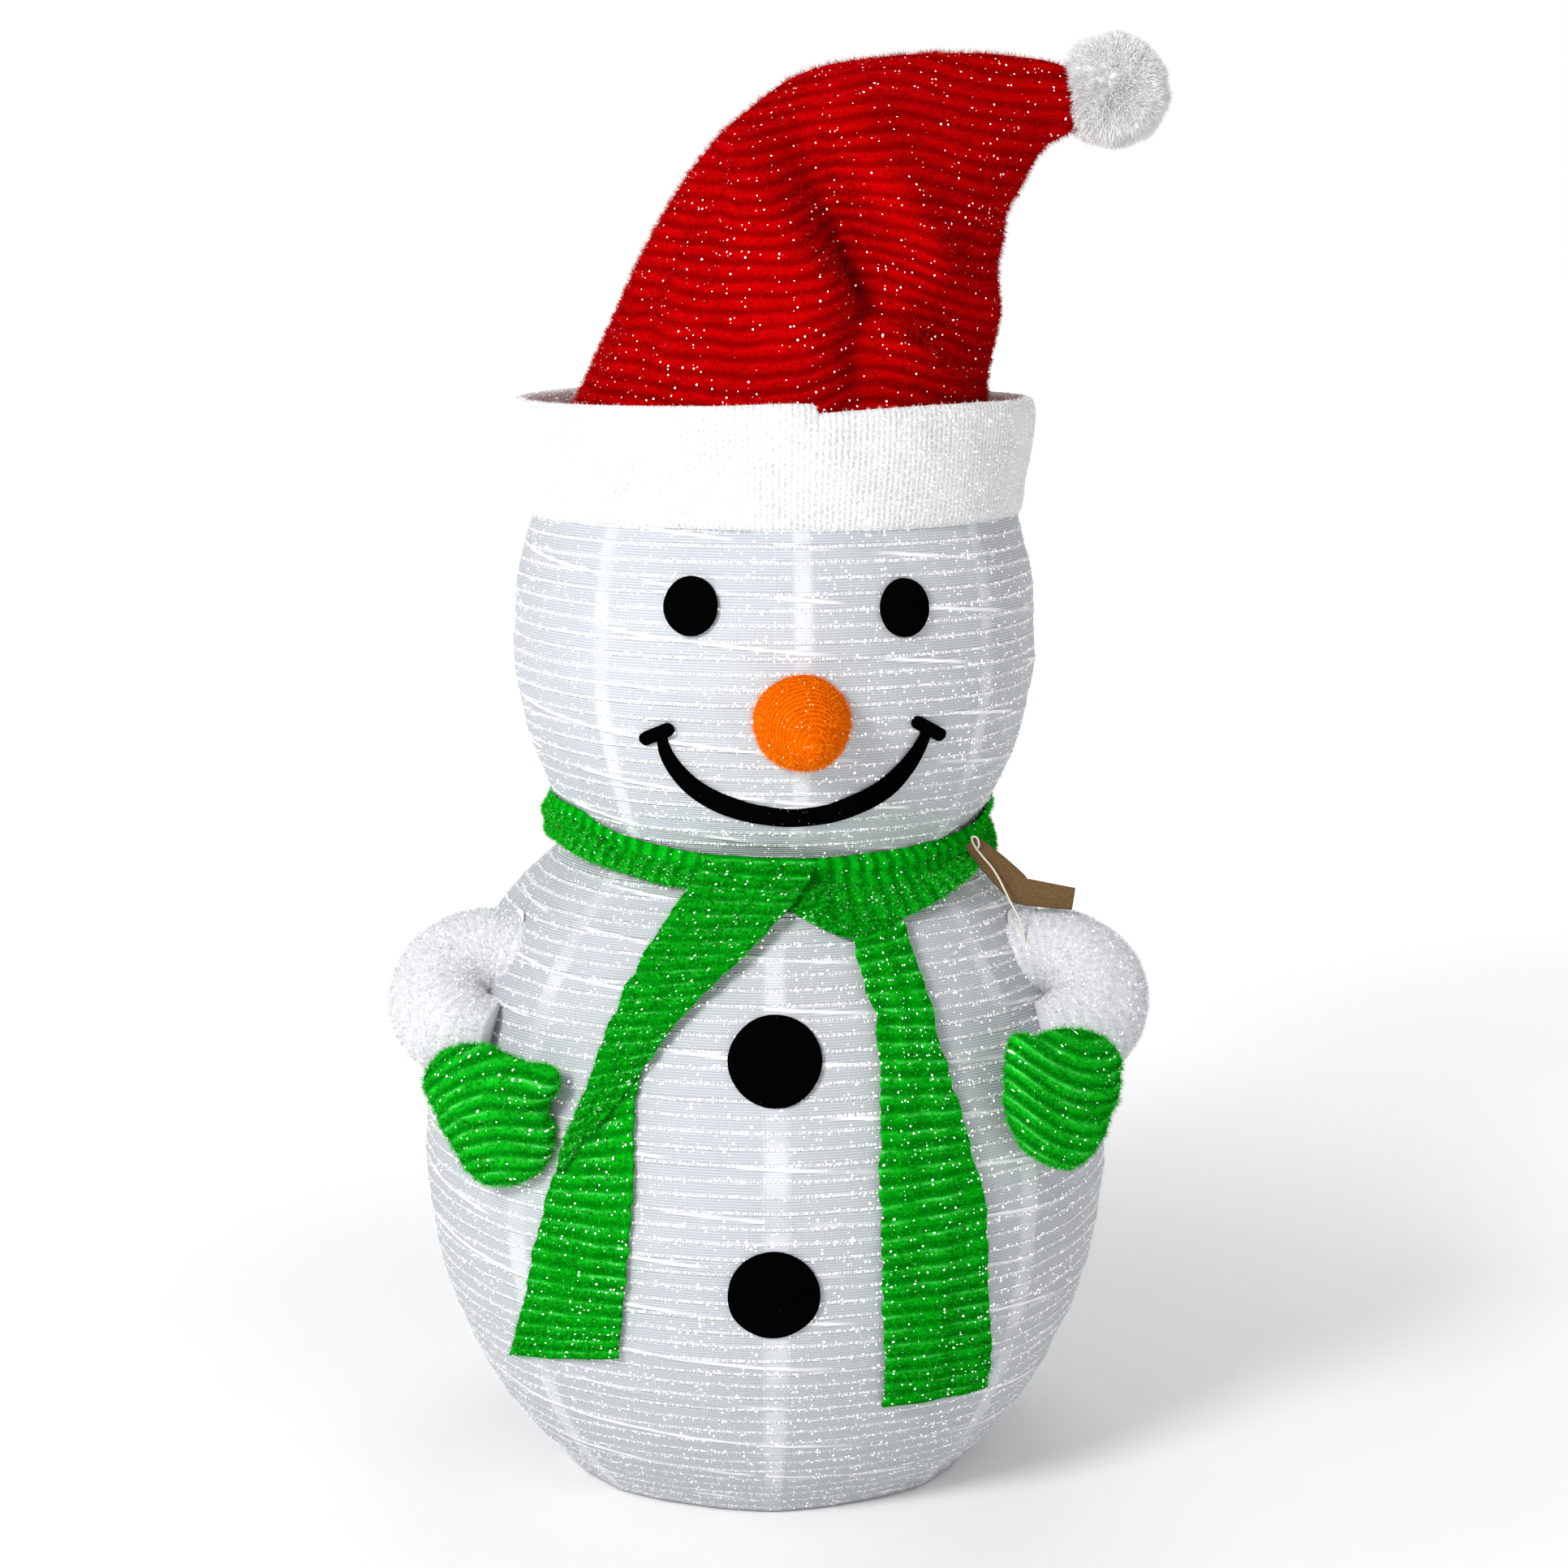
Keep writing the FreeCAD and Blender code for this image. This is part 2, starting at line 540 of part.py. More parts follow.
def arm(name, side):
    shoulder = vec(side * 205, -78, 434)
    swing_axis = vec(-0.819152, -side * 0.573576, 0)
    swings = [swing_clear("%s_swing%g" % (name, step), shoulder, swing_axis, step) for step in (8.0, 16.5, 25.0)]
    wrist = vec(side * 233, -150, 372)
    centre = (shoulder + wrist) * 0.5
    along = (shoulder - wrist).normalize()
    outward = vec(side, 0, 0)
    outward = (outward - along * outward.dot(along)).normalize()
    across = along.cross(outward)
    turn = FreeCAD.Rotation(along, outward, across, "XYZ")

    def tube(label, radius):
        bend = ring("%s_%s_bend" % (name, label), "dims.arm_bend", radius, centre, turn)
        bend.Angle3 = 180
        start = centre + along * size("arm_bend")
        into = FreeCAD.Rotation(Z_AXIS, outward * -1)
        stub = cylinder("%s_%s_stub" % (name, label), radius, "30", start, into)
        return fuse("%s_%s" % (name, label), bend, stub)

    skin = tube("skin", "dims.arm_r")
    hollow = tube("hollow", "dims.arm_r - dims.arm_wall")
    keep(cut("arm_%s_sleeve" % name, skin, hollow, body_clear, *swings), "arm_%s_sleeve" % name)
    patch = cut(name + "_patch_blank", tube("patch", "dims.arm_r + 7"), tube("patch_hole", "dims.arm_r + 0.3"))
    near = box(name + "_patch_near", "120", "120", "120", vec(-60 + side * 203, -130, 380))
    keep(common("arm_%s_patch" % name, common(name + "_patch_local", patch, near), patch_shell),
         "arm_%s_patch" % name)
    core = tube("core", "dims.arm_r - dims.arm_wall - 0.2")
    keep(cut("arm_%s_fill" % name, core, body_clear, *swings), "arm_%s_fill" % name)

    facing = FreeCAD.Rotation(Z_AXIS, side * 35.0)
    face_on = facing.multiply(FreeCAD.Rotation(vec(1, 0, 0), 90))
    palm_at = vec(side * 224, -207, 333)
    rim = ring(name + "_palm_rim", "dims.mitten_r - dims.mitten_deep", "dims.mitten_deep", palm_at, face_on)
    slab = cylinder(name + "_palm_slab", "dims.mitten_r - dims.mitten_deep", "2 * dims.mitten_deep",
                    palm_at + face_on.multVec(vec(0, 0, -size("mitten_deep"))), face_on)
    thumb_low = vec(side * 200, -224, 332)
    thumb_high = vec(side * 174, -240, 360)
    thumb_turn = FreeCAD.Rotation(Z_AXIS, thumb_high - thumb_low)
    thumb = cylinder(name + "_thumb", "dims.thumb_r", "%r" % (thumb_high - thumb_low).Length, thumb_low, thumb_turn)
    thumb_end = place(bind(make("Sphere", name + "_thumb_end"), Radius="dims.thumb_r"), thumb_high)
    mitten = fuse(name + "_mitten_blank", rim, slab, thumb, thumb_end)
    socket = tube("socket", "dims.arm_r + 0.3")
    keep(cut("mitten_%s" % name, mitten, socket, body_clear), "mitten_%s" % name)


arm("left", -1)
for made in [item for item in nodes if item.Label.startswith(("arm_left", "mitten_left"))]:
    twin = make("Mirroring", made.Label.replace("left", "right"))
    twin.Source = made
    twin.Base = vec(0, 0, 0)
    twin.Normal = vec(1, 0, 0)
    keep(twin, made.Label.replace("left", "right"))

# ---- hat: cone whose top folds over the pole, turned-up cuff, pom-pom ----

# centre x, centre z, radius, lean of the section
HAT_SECTIONS = [
    (0.0, 778.0, 199.0, 0.0),
    (7.8, 857.0, 165.5, 0.0),
    (26.3, 917.0, 152.0, 4.6),
    (57.0, 1000.0, 127.0, 15.6),
    (105.0, 1064.0, 99.0, 31.7),
    (171.6, 1094.5, 57.0, 42.6),
    (236.0, 1103.0, 20.0, 83.0),
]


def hat_loft(name, inset, low_shift, tip_shift):
    rings = []
    for index, (x, z, radius, lean) in enumerate(HAT_SECTIONS):
        hoop = make("Circle", "%s_hoop%d" % (name, index))
        bind(hoop, Radius="%g - %s" % (radius, inset))
        down = low_shift if index == 0 else 0.0
        back = tip_shift if index == len(HAT_SECTIONS) - 1 else 0.0
        place(hoop, vec(x - back, 0, z - down), FreeCAD.Rotation(vec(0, 1, 0), lean))
        rings.append(hoop)
    loft = make("Loft", name)
    loft.Sections = rings
    loft.Solid = True
    loft.Ruled = True
    return loft


hat_outer = hat_loft("hat_outer", "0", 0.0, 0.0)
hat_inner = hat_loft("hat_inner", "dims.hat_wall", 1.0, 4.0)
keep(cut("hat_cone", hat_outer, hat_inner), "hat_cone")

cuff = cylinder("cuff_outer", "dims.cuff_r", "dims.cuff_high - dims.cuff_low", vec(0, 0, size("cuff_low")))
cuff_hole = cylinder("cuff_inner", "dims.cuff_r - dims.cuff_wall", "200", vec(0, 0, size("cuff_low") - 50))
keep(cut("hat_cuff", cuff, cuff_hole), "hat_cuff")

ball = make("Sphere", "hat_pompom")
bind(ball, Radius="dims.pompom_r")
keep(place(ball, vec(size("pompom_x"), 0, size("pompom_z"))), "hat_pompom")

# ---- hang tag: a bent card on a length of twine knotted at the scarf ----

EYELET = vec(163.0, -99.0, 518.5)


def card_leg(name, start, slope, long):
    lean = FreeCAD.Rotation(vec(0, 1, 0), slope)
    corner = start + lean.multVec(vec(0, 0, -size("tag_wide") / 2))
    leg = box(name, long, "dims.tag_thick", "dims.tag_wide", corner, lean)
    return leg, start + lean.multVec(vec(size("tag_leg"), 0, 0))


first, bend = card_leg("tag_first", vec(161.0, -99.3, 523.0), 50.0, "dims.tag_leg")
second, tag_end = card_leg("tag_second", bend + vec(-5, 0, 4), 2.0, "dims.tag_leg")
tag_hole = cylinder("tag_hole", "2.2", "8", EYELET + vec(0, 4, 0), forward)


def rounded_route(points):
    """Straight runs joined by tangent arcs."""
    edges = []
    start = points[0]
    for before, corner, after in zip(points, points[1:], points[2:]):
        back = before - corner
        ahead = after - corner
        reach = 0.45 * min(back.Length, ahead.Length)
        enter = corner + back.normalize() * reach
        leave = corner + ahead.normalize() * reach
        half = back.getAngle(ahead) / 2
        inward = (back + ahead).normalize()
        bend_r = reach * math.tan(half)
        middle = corner + inward * (reach / math.cos(half) - bend_r)
        edges.append(Part.LineSegment(start, enter).toShape())
        edges.append(Part.Arc(enter, middle, leave).toShape())
        start = leave
    edges.append(Part.LineSegment(start, points[-1]).toShape())
    return Part.Wire(edges)


TWINE = [
    vec(201, -115, 448), vec(198, -114, 463), vec(189, -110, 479), vec(178, -104, 502), vec(166, -99.5, 515),
    vec(159.5, -99.5, 524), vec(159.5, -101.5, 530), vec(164, -104, 528.5), vec(165, -103, 520), vec(162.5, -97, 517.5),
]
route = doc.addObject("Part::Feature", "twine_route")
route.Shape = rounded_route(TWINE)
lead = (TWINE[1] - TWINE[0]).normalize()


def along_route(name, radius):
    spot = bind(make("Circle", name + "_section"), Radius=radius)
    sweep = make("Sweep", name)
    sweep.Sections = [place(spot, TWINE[0], FreeCAD.Rotation(Z_AXIS, lead))]
    sweep.Spine = route
    sweep.Solid = True
    return sweep


keep(along_route("twine", "dims.twine_r"), "tag_string")
room = along_route("twine_room", "dims.twine_r + 0.3")
keep(cut("hang_tag", fuse("tag_blank", first, second), tag_hole, room), "hang_tag")

doc.recompute()
for item in doc.Objects:
    if "Invalid" in item.State or "Error" in item.State:
        raise RuntimeError("%s did not compute: %s" % (item.Label, item.State))
os.makedirs("parts", exist_ok=True)
for item in nodes:
    if item.Shape.isNull() or not item.Shape.isValid():
        raise RuntimeError("%s has a bad shape" % item.Label)
    item.Shape.exportStep("parts/%s.step" % item.Label)
    print("%-18s solids %d volume %.0f" % (item.Label, len(item.Shape.Solids), item.Shape.Volume))
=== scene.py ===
import bpy
import json
import math
import numpy as np
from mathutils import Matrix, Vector


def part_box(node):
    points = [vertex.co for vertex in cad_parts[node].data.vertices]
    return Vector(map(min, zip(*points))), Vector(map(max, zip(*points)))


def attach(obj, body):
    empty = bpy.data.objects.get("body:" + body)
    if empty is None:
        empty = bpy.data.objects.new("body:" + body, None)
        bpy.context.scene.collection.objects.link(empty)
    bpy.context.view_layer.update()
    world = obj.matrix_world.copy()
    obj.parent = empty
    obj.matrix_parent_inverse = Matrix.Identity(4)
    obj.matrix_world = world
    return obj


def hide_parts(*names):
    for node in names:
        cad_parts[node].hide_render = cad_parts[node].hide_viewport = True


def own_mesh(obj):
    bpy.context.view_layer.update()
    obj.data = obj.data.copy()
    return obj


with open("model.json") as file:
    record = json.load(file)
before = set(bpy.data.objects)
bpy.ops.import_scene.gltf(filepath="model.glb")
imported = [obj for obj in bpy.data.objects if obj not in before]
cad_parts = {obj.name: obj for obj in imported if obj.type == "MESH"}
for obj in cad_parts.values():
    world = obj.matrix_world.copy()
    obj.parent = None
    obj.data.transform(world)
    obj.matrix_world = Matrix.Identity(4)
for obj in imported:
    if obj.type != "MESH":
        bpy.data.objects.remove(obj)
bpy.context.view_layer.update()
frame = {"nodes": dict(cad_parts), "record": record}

bpy.context.scene.view_settings.view_transform = "Standard"
MM = 0.001
ROW = 0.012         # one row of tinsel
PANELS = 8          # gores in each cover
WIRE_PITCH = 0.040  # between the turns of the spring wire that press through
WIRE_CLIMB = 0.120  # and how far they drop in one turn


# ---------------------------------------------------------------- camera and lights

def aim(obj, target):
    obj.rotation_euler = (Vector(target) - obj.location).to_track_quat("-Z", "Y").to_euler()


def placed(name, data):
    obj = bpy.data.objects.new(name, data)
    bpy.context.collection.objects.link(obj)
    return obj


def camera():
    data = bpy.data.cameras.new("camera")
    data.sensor_width = 36.0
    data.lens = 74.4
    cam = placed("camera", data)
    cam.location = (0.012, -2.60, 0.98)
    aim(cam, (0.012, 0.0, 0.5543))
    bpy.context.scene.camera = cam


def area_light(name, place, target, size, watts):
    data = bpy.data.lights.new(name, "AREA")
    data.shape = "DISK"
    data.size = size
    data.energy = watts
    lamp = placed(name, data)
    lamp.location = place
    aim(lamp, target)


camera()

# ---------------------------------------------------------------- the tag's twine

ROUTE = [(201, -115, 448), (198, -114, 463), (189, -110, 479), (178, -104, 502), (166, -99.5, 515),
         (159.5, -99.5, 524), (159.5, -101.5, 530), (164, -104, 528.5), (165, -103, 520), (162.5, -97, 517.5)]
curve = bpy.data.curves.new("tag_twine", "CURVE")
curve.dimensions = "3D"
spline = curve.splines.new("NURBS")
spline.points.add(len(ROUTE) - 1)
for point, (x, y, z) in zip(spline.points, ROUTE):
    point.co = (x * MM, y * MM, z * MM, 1)
    point.radius = 0.001
spline.order_u = 3
spline.use_endpoint_u = True
curve.bevel_depth = 0.8
curve.bevel_resolution = 3
curve.resolution_u = 16
twine = placed("tag_twine", curve)
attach(twine, "tag")
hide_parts("tag_string")

area_light("key", (-1.5, -2.4, 1.9), (0, 0, 0.62), 0.9, 82)
area_light("fill", (2.4, -2.2, 1.4), (0, 0, 0.5), 2.2, 7)
area_light("top", (0.3, 0.9, 2.9), (0, 0, 0.6), 1.8, 14)

world = bpy.data.worlds.new("studio")
bpy.context.scene.world = world
world.use_nodes = True
sky = world.node_tree.nodes["Background"]
sky.inputs[0].default_value = (1, 1, 1, 1)
ray = world.node_tree.nodes.new("ShaderNodeLightPath")
level = world.node_tree.nodes.new("ShaderNodeMapRange")
level.inputs["To Min"].default_value = 0.46
level.inputs["To Max"].default_value = 1.0
world.node_tree.links.new(ray.outputs["Is Camera Ray"], level.inputs[0])
world.node_tree.links.new(level.outputs[0], sky.inputs[1])


# ---------------------------------------------------------------- node materials

BLACK, WHITE = (0.0, 0.0, 0.0), (1.0, 1.0, 1.0)


def worked(op, swapped=False):
    def result(self, other):
        return self.mat.math(op, other, self) if swapped else self.mat.math(op, self, other)
    return result


class Value:
    """A node's output that is worked with like a number."""
    __add__ = worked("ADD")
    __sub__, __rsub__ = worked("SUBTRACT"), worked("SUBTRACT", True)
    __mul__ = worked("MULTIPLY")
    __truediv__ = worked("DIVIDE")

    def __init__(self, mat, socket):
        self.mat, self.socket = mat, socket

    def __abs__(self):
        return self.mat.math("ABSOLUTE", self)


class Mat:
    def __init__(self, name, rough=0.8, **levels):
        self.m = bpy.data.materials.new(name)
        self.m.use_nodes = True
        self.t = self.m.node_tree
        self.b = self.t.nodes["Principled BSDF"]
        self.level(roughness=rough, **levels)

    def level(self, **levels):
        """Sets the shader's own numbers, such as sheen_weight."""
        for key, value in levels.items():
            name = key.replace("_", " ").title().replace("Ior", "IOR")
            self.b.inputs[name].default_value = value

    def node(self, kind, **props):
        n = self.t.nodes.new("ShaderNode" + kind)
        for key, value in props.items():
            setattr(n, key, value)
        return n

    def put(self, socket, value):
        value = getattr(value, "socket", value)
        if isinstance(value, (int, float)):
            socket.default_value = value
        elif isinstance(value, tuple):
            socket.default_value = value + (1,) if len(value) == 3 and len(socket.default_value) == 4 else value
        else:
            self.t.links.new(value, socket)

    def fed(self, kind, *values, **props):
        """A new node whose first sockets are given."""
        n = self.node(kind, **props)
        for socket, value in zip(n.inputs, values):
            self.put(socket, value)
        return n

    def value(self, kind, *values, **props):
        return Value(self, self.fed(kind, *values, **props).outputs[0])

    def math(self, op, *values):
        return self.value("Math", *values, operation=op)

    def split(self, vector):
        return [Value(self, out) for out in self.fed("SeparateXYZ", vector).outputs]

    def uv(self):
        return self.split(self.node("TexCoord").outputs["UV"])[:2]

    def xyz(self, x, y, z=0.0):
        return self.value("CombineXYZ", x, y, z)

    def objxyz(self):
        return self.node("TexCoord").outputs["Object"]

    def stretched(self, scale):
        n = self.fed("Mapping", self.objxyz())
        n.inputs["Scale"].default_value = scale
        return n.outputs[0]

    def noise(self, vector, scale, detail=2.0, rough=0.5):
        n = self.node("TexNoise")
        for key, value in zip(("Vector", "Scale", "Detail", "Roughness"), (vector, scale, detail, rough)):
            self.put(n.inputs[key], value)
        return Value(self, n.outputs[0])

    def step(self, value, low, high, to_low=0.0, to_high=1.0):
        return self.value("MapRange", value, low, high, to_low, to_high, interpolation_type="SMOOTHSTEP")

    def band(self, value, middle, low, high):
        """1 at the middle, falling to 0 on both sides."""
        return self.step(abs(value - middle), low, high, 1.0, 0.0)

    def wave(self, value, length, kind="SINE"):
        """A wave from 0 to 1."""
        return self.math(kind, value * (2 * math.pi / length)) * 0.5 + 0.5

    def mix(self, factor, a, b):
        n = self.node("Mix", data_type="RGBA")
        for k, value in ((0, factor), (6, a), (7, b)):
            self.put(n.inputs[k], value)
        return n.outputs[2]

    def sparkle(self, vector, cell, size, share, dims="2D"):
        """Small round flakes in a random share of the cells."""
        n = self.node("TexVoronoi", voronoi_dimensions=dims)
        self.put(n.inputs["Vector"], vector)
        self.put(n.inputs["Scale"], 1.0 / cell)
        pick = self.split(n.outputs["Color"])
        chosen = self.math("GREATER_THAN", pick[0], self.math("SUBTRACT", 1.0, share))
        return chosen * self.math("LESS_THAN", n.outputs["Distance"], pick[1] * size)

    def colour(self, value):
        self.put(self.b.inputs["Base Color"], value)
        return self

    def paint_glints(self, flakes, colour, glint, glow):
        """Flakes painted in the glint's colour over the colour and made to glow a little: painted highlights on the
        tinsel's flakes.
        """
        self.colour(self.mix(flakes, colour, glint))
        self.put(self.b.inputs["Emission Color"], self.mix(flakes, BLACK, tuple(glow * c for c in glint)))
        self.level(emission_strength=1.0)

    def bump(self, height, distance):
        n = self.node("Bump")
        self.put(n.inputs["Height"], height)
        n.inputs["Distance"].default_value = distance
        self.put(self.b.inputs["Normal"], n.outputs[0])


def rowed(mat, u, v, period, wander):
    """Phase 0..1 across a row, with the row wandering a little along its length."""
    drift = mat.noise(mat.xyz(u, v), 26.0, 3.0) - 0.5
    return mat.math("FRACT", (v + drift * wander) / period)


def cover_cloth(name, girth, first_seam):
    """Semi-sheer white weave with white yarn rows, seam bands and the spring wire pressing through."""
    m = Mat(name, rough=0.7, sheen_weight=0.1)
    turn, v = m.uv()
    u = turn * girth
    off = abs(rowed(m, u, v, ROW, 0.0022) - 0.5)
    loops = m.noise(m.xyz(u, v * 0.35), 520.0)
    yarn = m.step(off, 0.055, 0.16, 1.0, 0.0) * m.step(loops, 0.38, 0.60, 0.15, 1.0)
    ribs = m.wave(v, 0.0021)
    weave = ribs * 0.55 + m.wave(u, 0.0019) * 0.25 + m.noise(m.xyz(u, v), 9.0, 3.0) * 0.35
    seam = m.band(m.math("FRACT", turn * PANELS + (0.5 - first_seam * PANELS / 360)), 0.5, 0.022, 0.060)
    wire = m.band(m.math("FRACT", (v + turn * WIRE_CLIMB) / WIRE_PITCH), 0.5, 0.022, 0.058)
    patchy = m.step(m.noise(m.xyz(turn, v), 14.0, 1.0), 0.42, 0.55)
    pressed = wire * patchy * 0.8
    colour = m.mix(weave, (0.30, 0.32, 0.345), (0.57, 0.595, 0.63))
    colour = m.mix(seam * (patchy * 0.25 + 0.12), colour, (0.90, 0.92, 0.95))
    colour = m.mix(pressed, colour, (0.95, 0.96, 0.98))
    colour = m.mix(yarn, colour, (0.96, 0.97, 0.98))
    near_row = m.step(off, 0.10, 0.34, 0.34, 0.07)
    # painted glints: white flakes with a painted glow, thickest near the yarn rows
    m.paint_glints(m.sparkle(m.xyz(u, v), 0.0032, 0.34, near_row), colour, WHITE, 0.8)
    m.bump(yarn + ribs * 0.22 + pressed, 0.0012)
    return m.m


def pile_cloth(name, gap_col, band_col, highlight_col, period, light, spark, wander, glint=WHITE, cell=0.0031,
               streak=0.8, depth=0.0012, solid=False, flake=0.33):
    """Fuzzy tinsel cloth: soft ridges with darker furrows, a painted highlight band along each row, streaked pile and
    flakes with painted glints.
    """
    m = Mat(name, rough=0.9, specular_ior_level=0.0)
    u, v = m.uv()
    phase = rowed(m, u, v, period, wander)
    off = abs(phase - 0.5)
    ridge = m.wave(off, 1.0, "COSINE")
    fibres = m.noise(m.xyz(u, v * 0.25), 900.0, 3.0, 0.7)
    cloudy = m.noise(m.xyz(u, v), 17.0, 3.0, 0.6)
    tone = ridge * 0.55 + fibres * (streak * 0.75) + (cloudy - 0.5) * 0.7
    # painted highlight: a lighter band beside the middle of each row, in the highlight colour, as much as light says
    painted_highlight = m.band(phase, 0.62, 0.02, 0.16) * m.step(m.noise(m.xyz(u, v * 0.6), 30.0, 3.0), 0.36, 0.66)
    colour = m.mix(m.step(tone, 0.15, 0.95), gap_col, band_col)
    colour = m.mix(painted_highlight * light, colour, highlight_col)
    share = m.step(off, 0.10, 0.42, 1.4, 0.6) * spark
    where, dims = (m.objxyz(), "3D") if solid else (m.xyz(u, v), "2D")
    # painted glints: flakes in the glint colour with a painted glow
    m.paint_glints(m.sparkle(where, cell, flake, share, dims), colour, glint, 0.9)
    m.bump(ridge + fibres * 0.35, depth)
    return m.m


def strand_mat(name, colour, spread, rough=0.5):
    m = Mat(name, rough=rough, specular_ior_level=0.02)
    low = tuple(c * (1 - spread) for c in colour)
    high = tuple(min(1.0, c * (1 + spread)) for c in colour)
    return m.colour(m.mix(m.step(m.noise(m.objxyz(), 320.0, 1.0), 0.35, 0.65), low, high)).m


def felt(name):
    m = Mat(name, rough=1.0, specular_ior_level=0.0)
    fuzz = m.noise(m.objxyz(), 900.0, 3.0, 0.7)
    m.colour(m.mix(fuzz, (0.0002, 0.0002, 0.0003), (0.0016, 0.0016, 0.0018)))
    m.bump(fuzz, 0.0004)
    return m.m


def plain(name, low, high, scale, rough, metal=0.0, bump=0.0002, stretch=(1, 1, 1), sheen=0.0):
    """Two close tones of one finish, broken up by noise, with a fine bump."""
    m = Mat(name, rough=rough, metallic=metal, sheen_weight=sheen)
    grain = m.noise(m.stretched(stretch), scale, 4.0, 0.6)
    m.colour(m.mix(m.step(grain, 0.3, 0.7), low, high))
    m.put(m.b.inputs["Roughness"], m.step(grain, 0.2, 0.8, rough * 0.85, min(1.0, rough * 1.15)))
    m.bump(grain, bump)
    return m.m


# ---------------------------------------------------------------- a cloth and its pile go together

ABOVE_FLOOR = 0.0004
PILE = {}  # the pile that stands apart from its cloth, by the cloth's name


def with_pile(obj):
    return [obj] + ([PILE[obj.name]] if obj.name in PILE else [])


def ride(obj, body):
    for each in with_pile(obj):
        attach(each, body)


def squash(obj, joint, **how):
    for each in with_pile(obj):
        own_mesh(each)
    return obj


def slot(obj):
    for each in with_pile(obj):
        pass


def sheet(obj, **how):
    with_pile(obj)[1:]


def stands_for(obj, *nodes, body=None, finish=None):
    """Names the CAD nodes that a piece replaces and the body it rides on; the finish sets no material slot."""
    if nodes:
        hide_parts(*nodes)
    if body:
        ride(obj, body)
    if finish:
        slot(obj)
    return obj


# ---------------------------------------------------------------- mesh helpers

def smooth_curve(xs, ys):
    """Monotone cubic through the points."""
    xs = np.asarray(xs, float)
    ys = np.asarray(ys, float)
    h = np.diff(xs)
    d = np.diff(ys) / h
    m = np.zeros(len(xs))
    m[0], m[-1] = d[0], d[-1]
    for i in range(1, len(xs) - 1):
        if d[i - 1] * d[i] > 0:
            m[i] = 2 * d[i - 1] * d[i] / (d[i - 1] + d[i])

    def value(x):
        x = np.clip(np.asarray(x, float), xs[0], xs[-1])
        i = np.clip(np.searchsorted(xs, x) - 1, 0, len(xs) - 2)
        t = (x - xs[i]) / h[i]
        a = ys[i] * (1 + 2 * t) * (1 - t) ** 2 + ys[i + 1] * t * t * (3 - 2 * t)
        return a + h[i] * (m[i] * t * (1 - t) ** 2 - m[i + 1] * t * t * (1 - t))
    return value


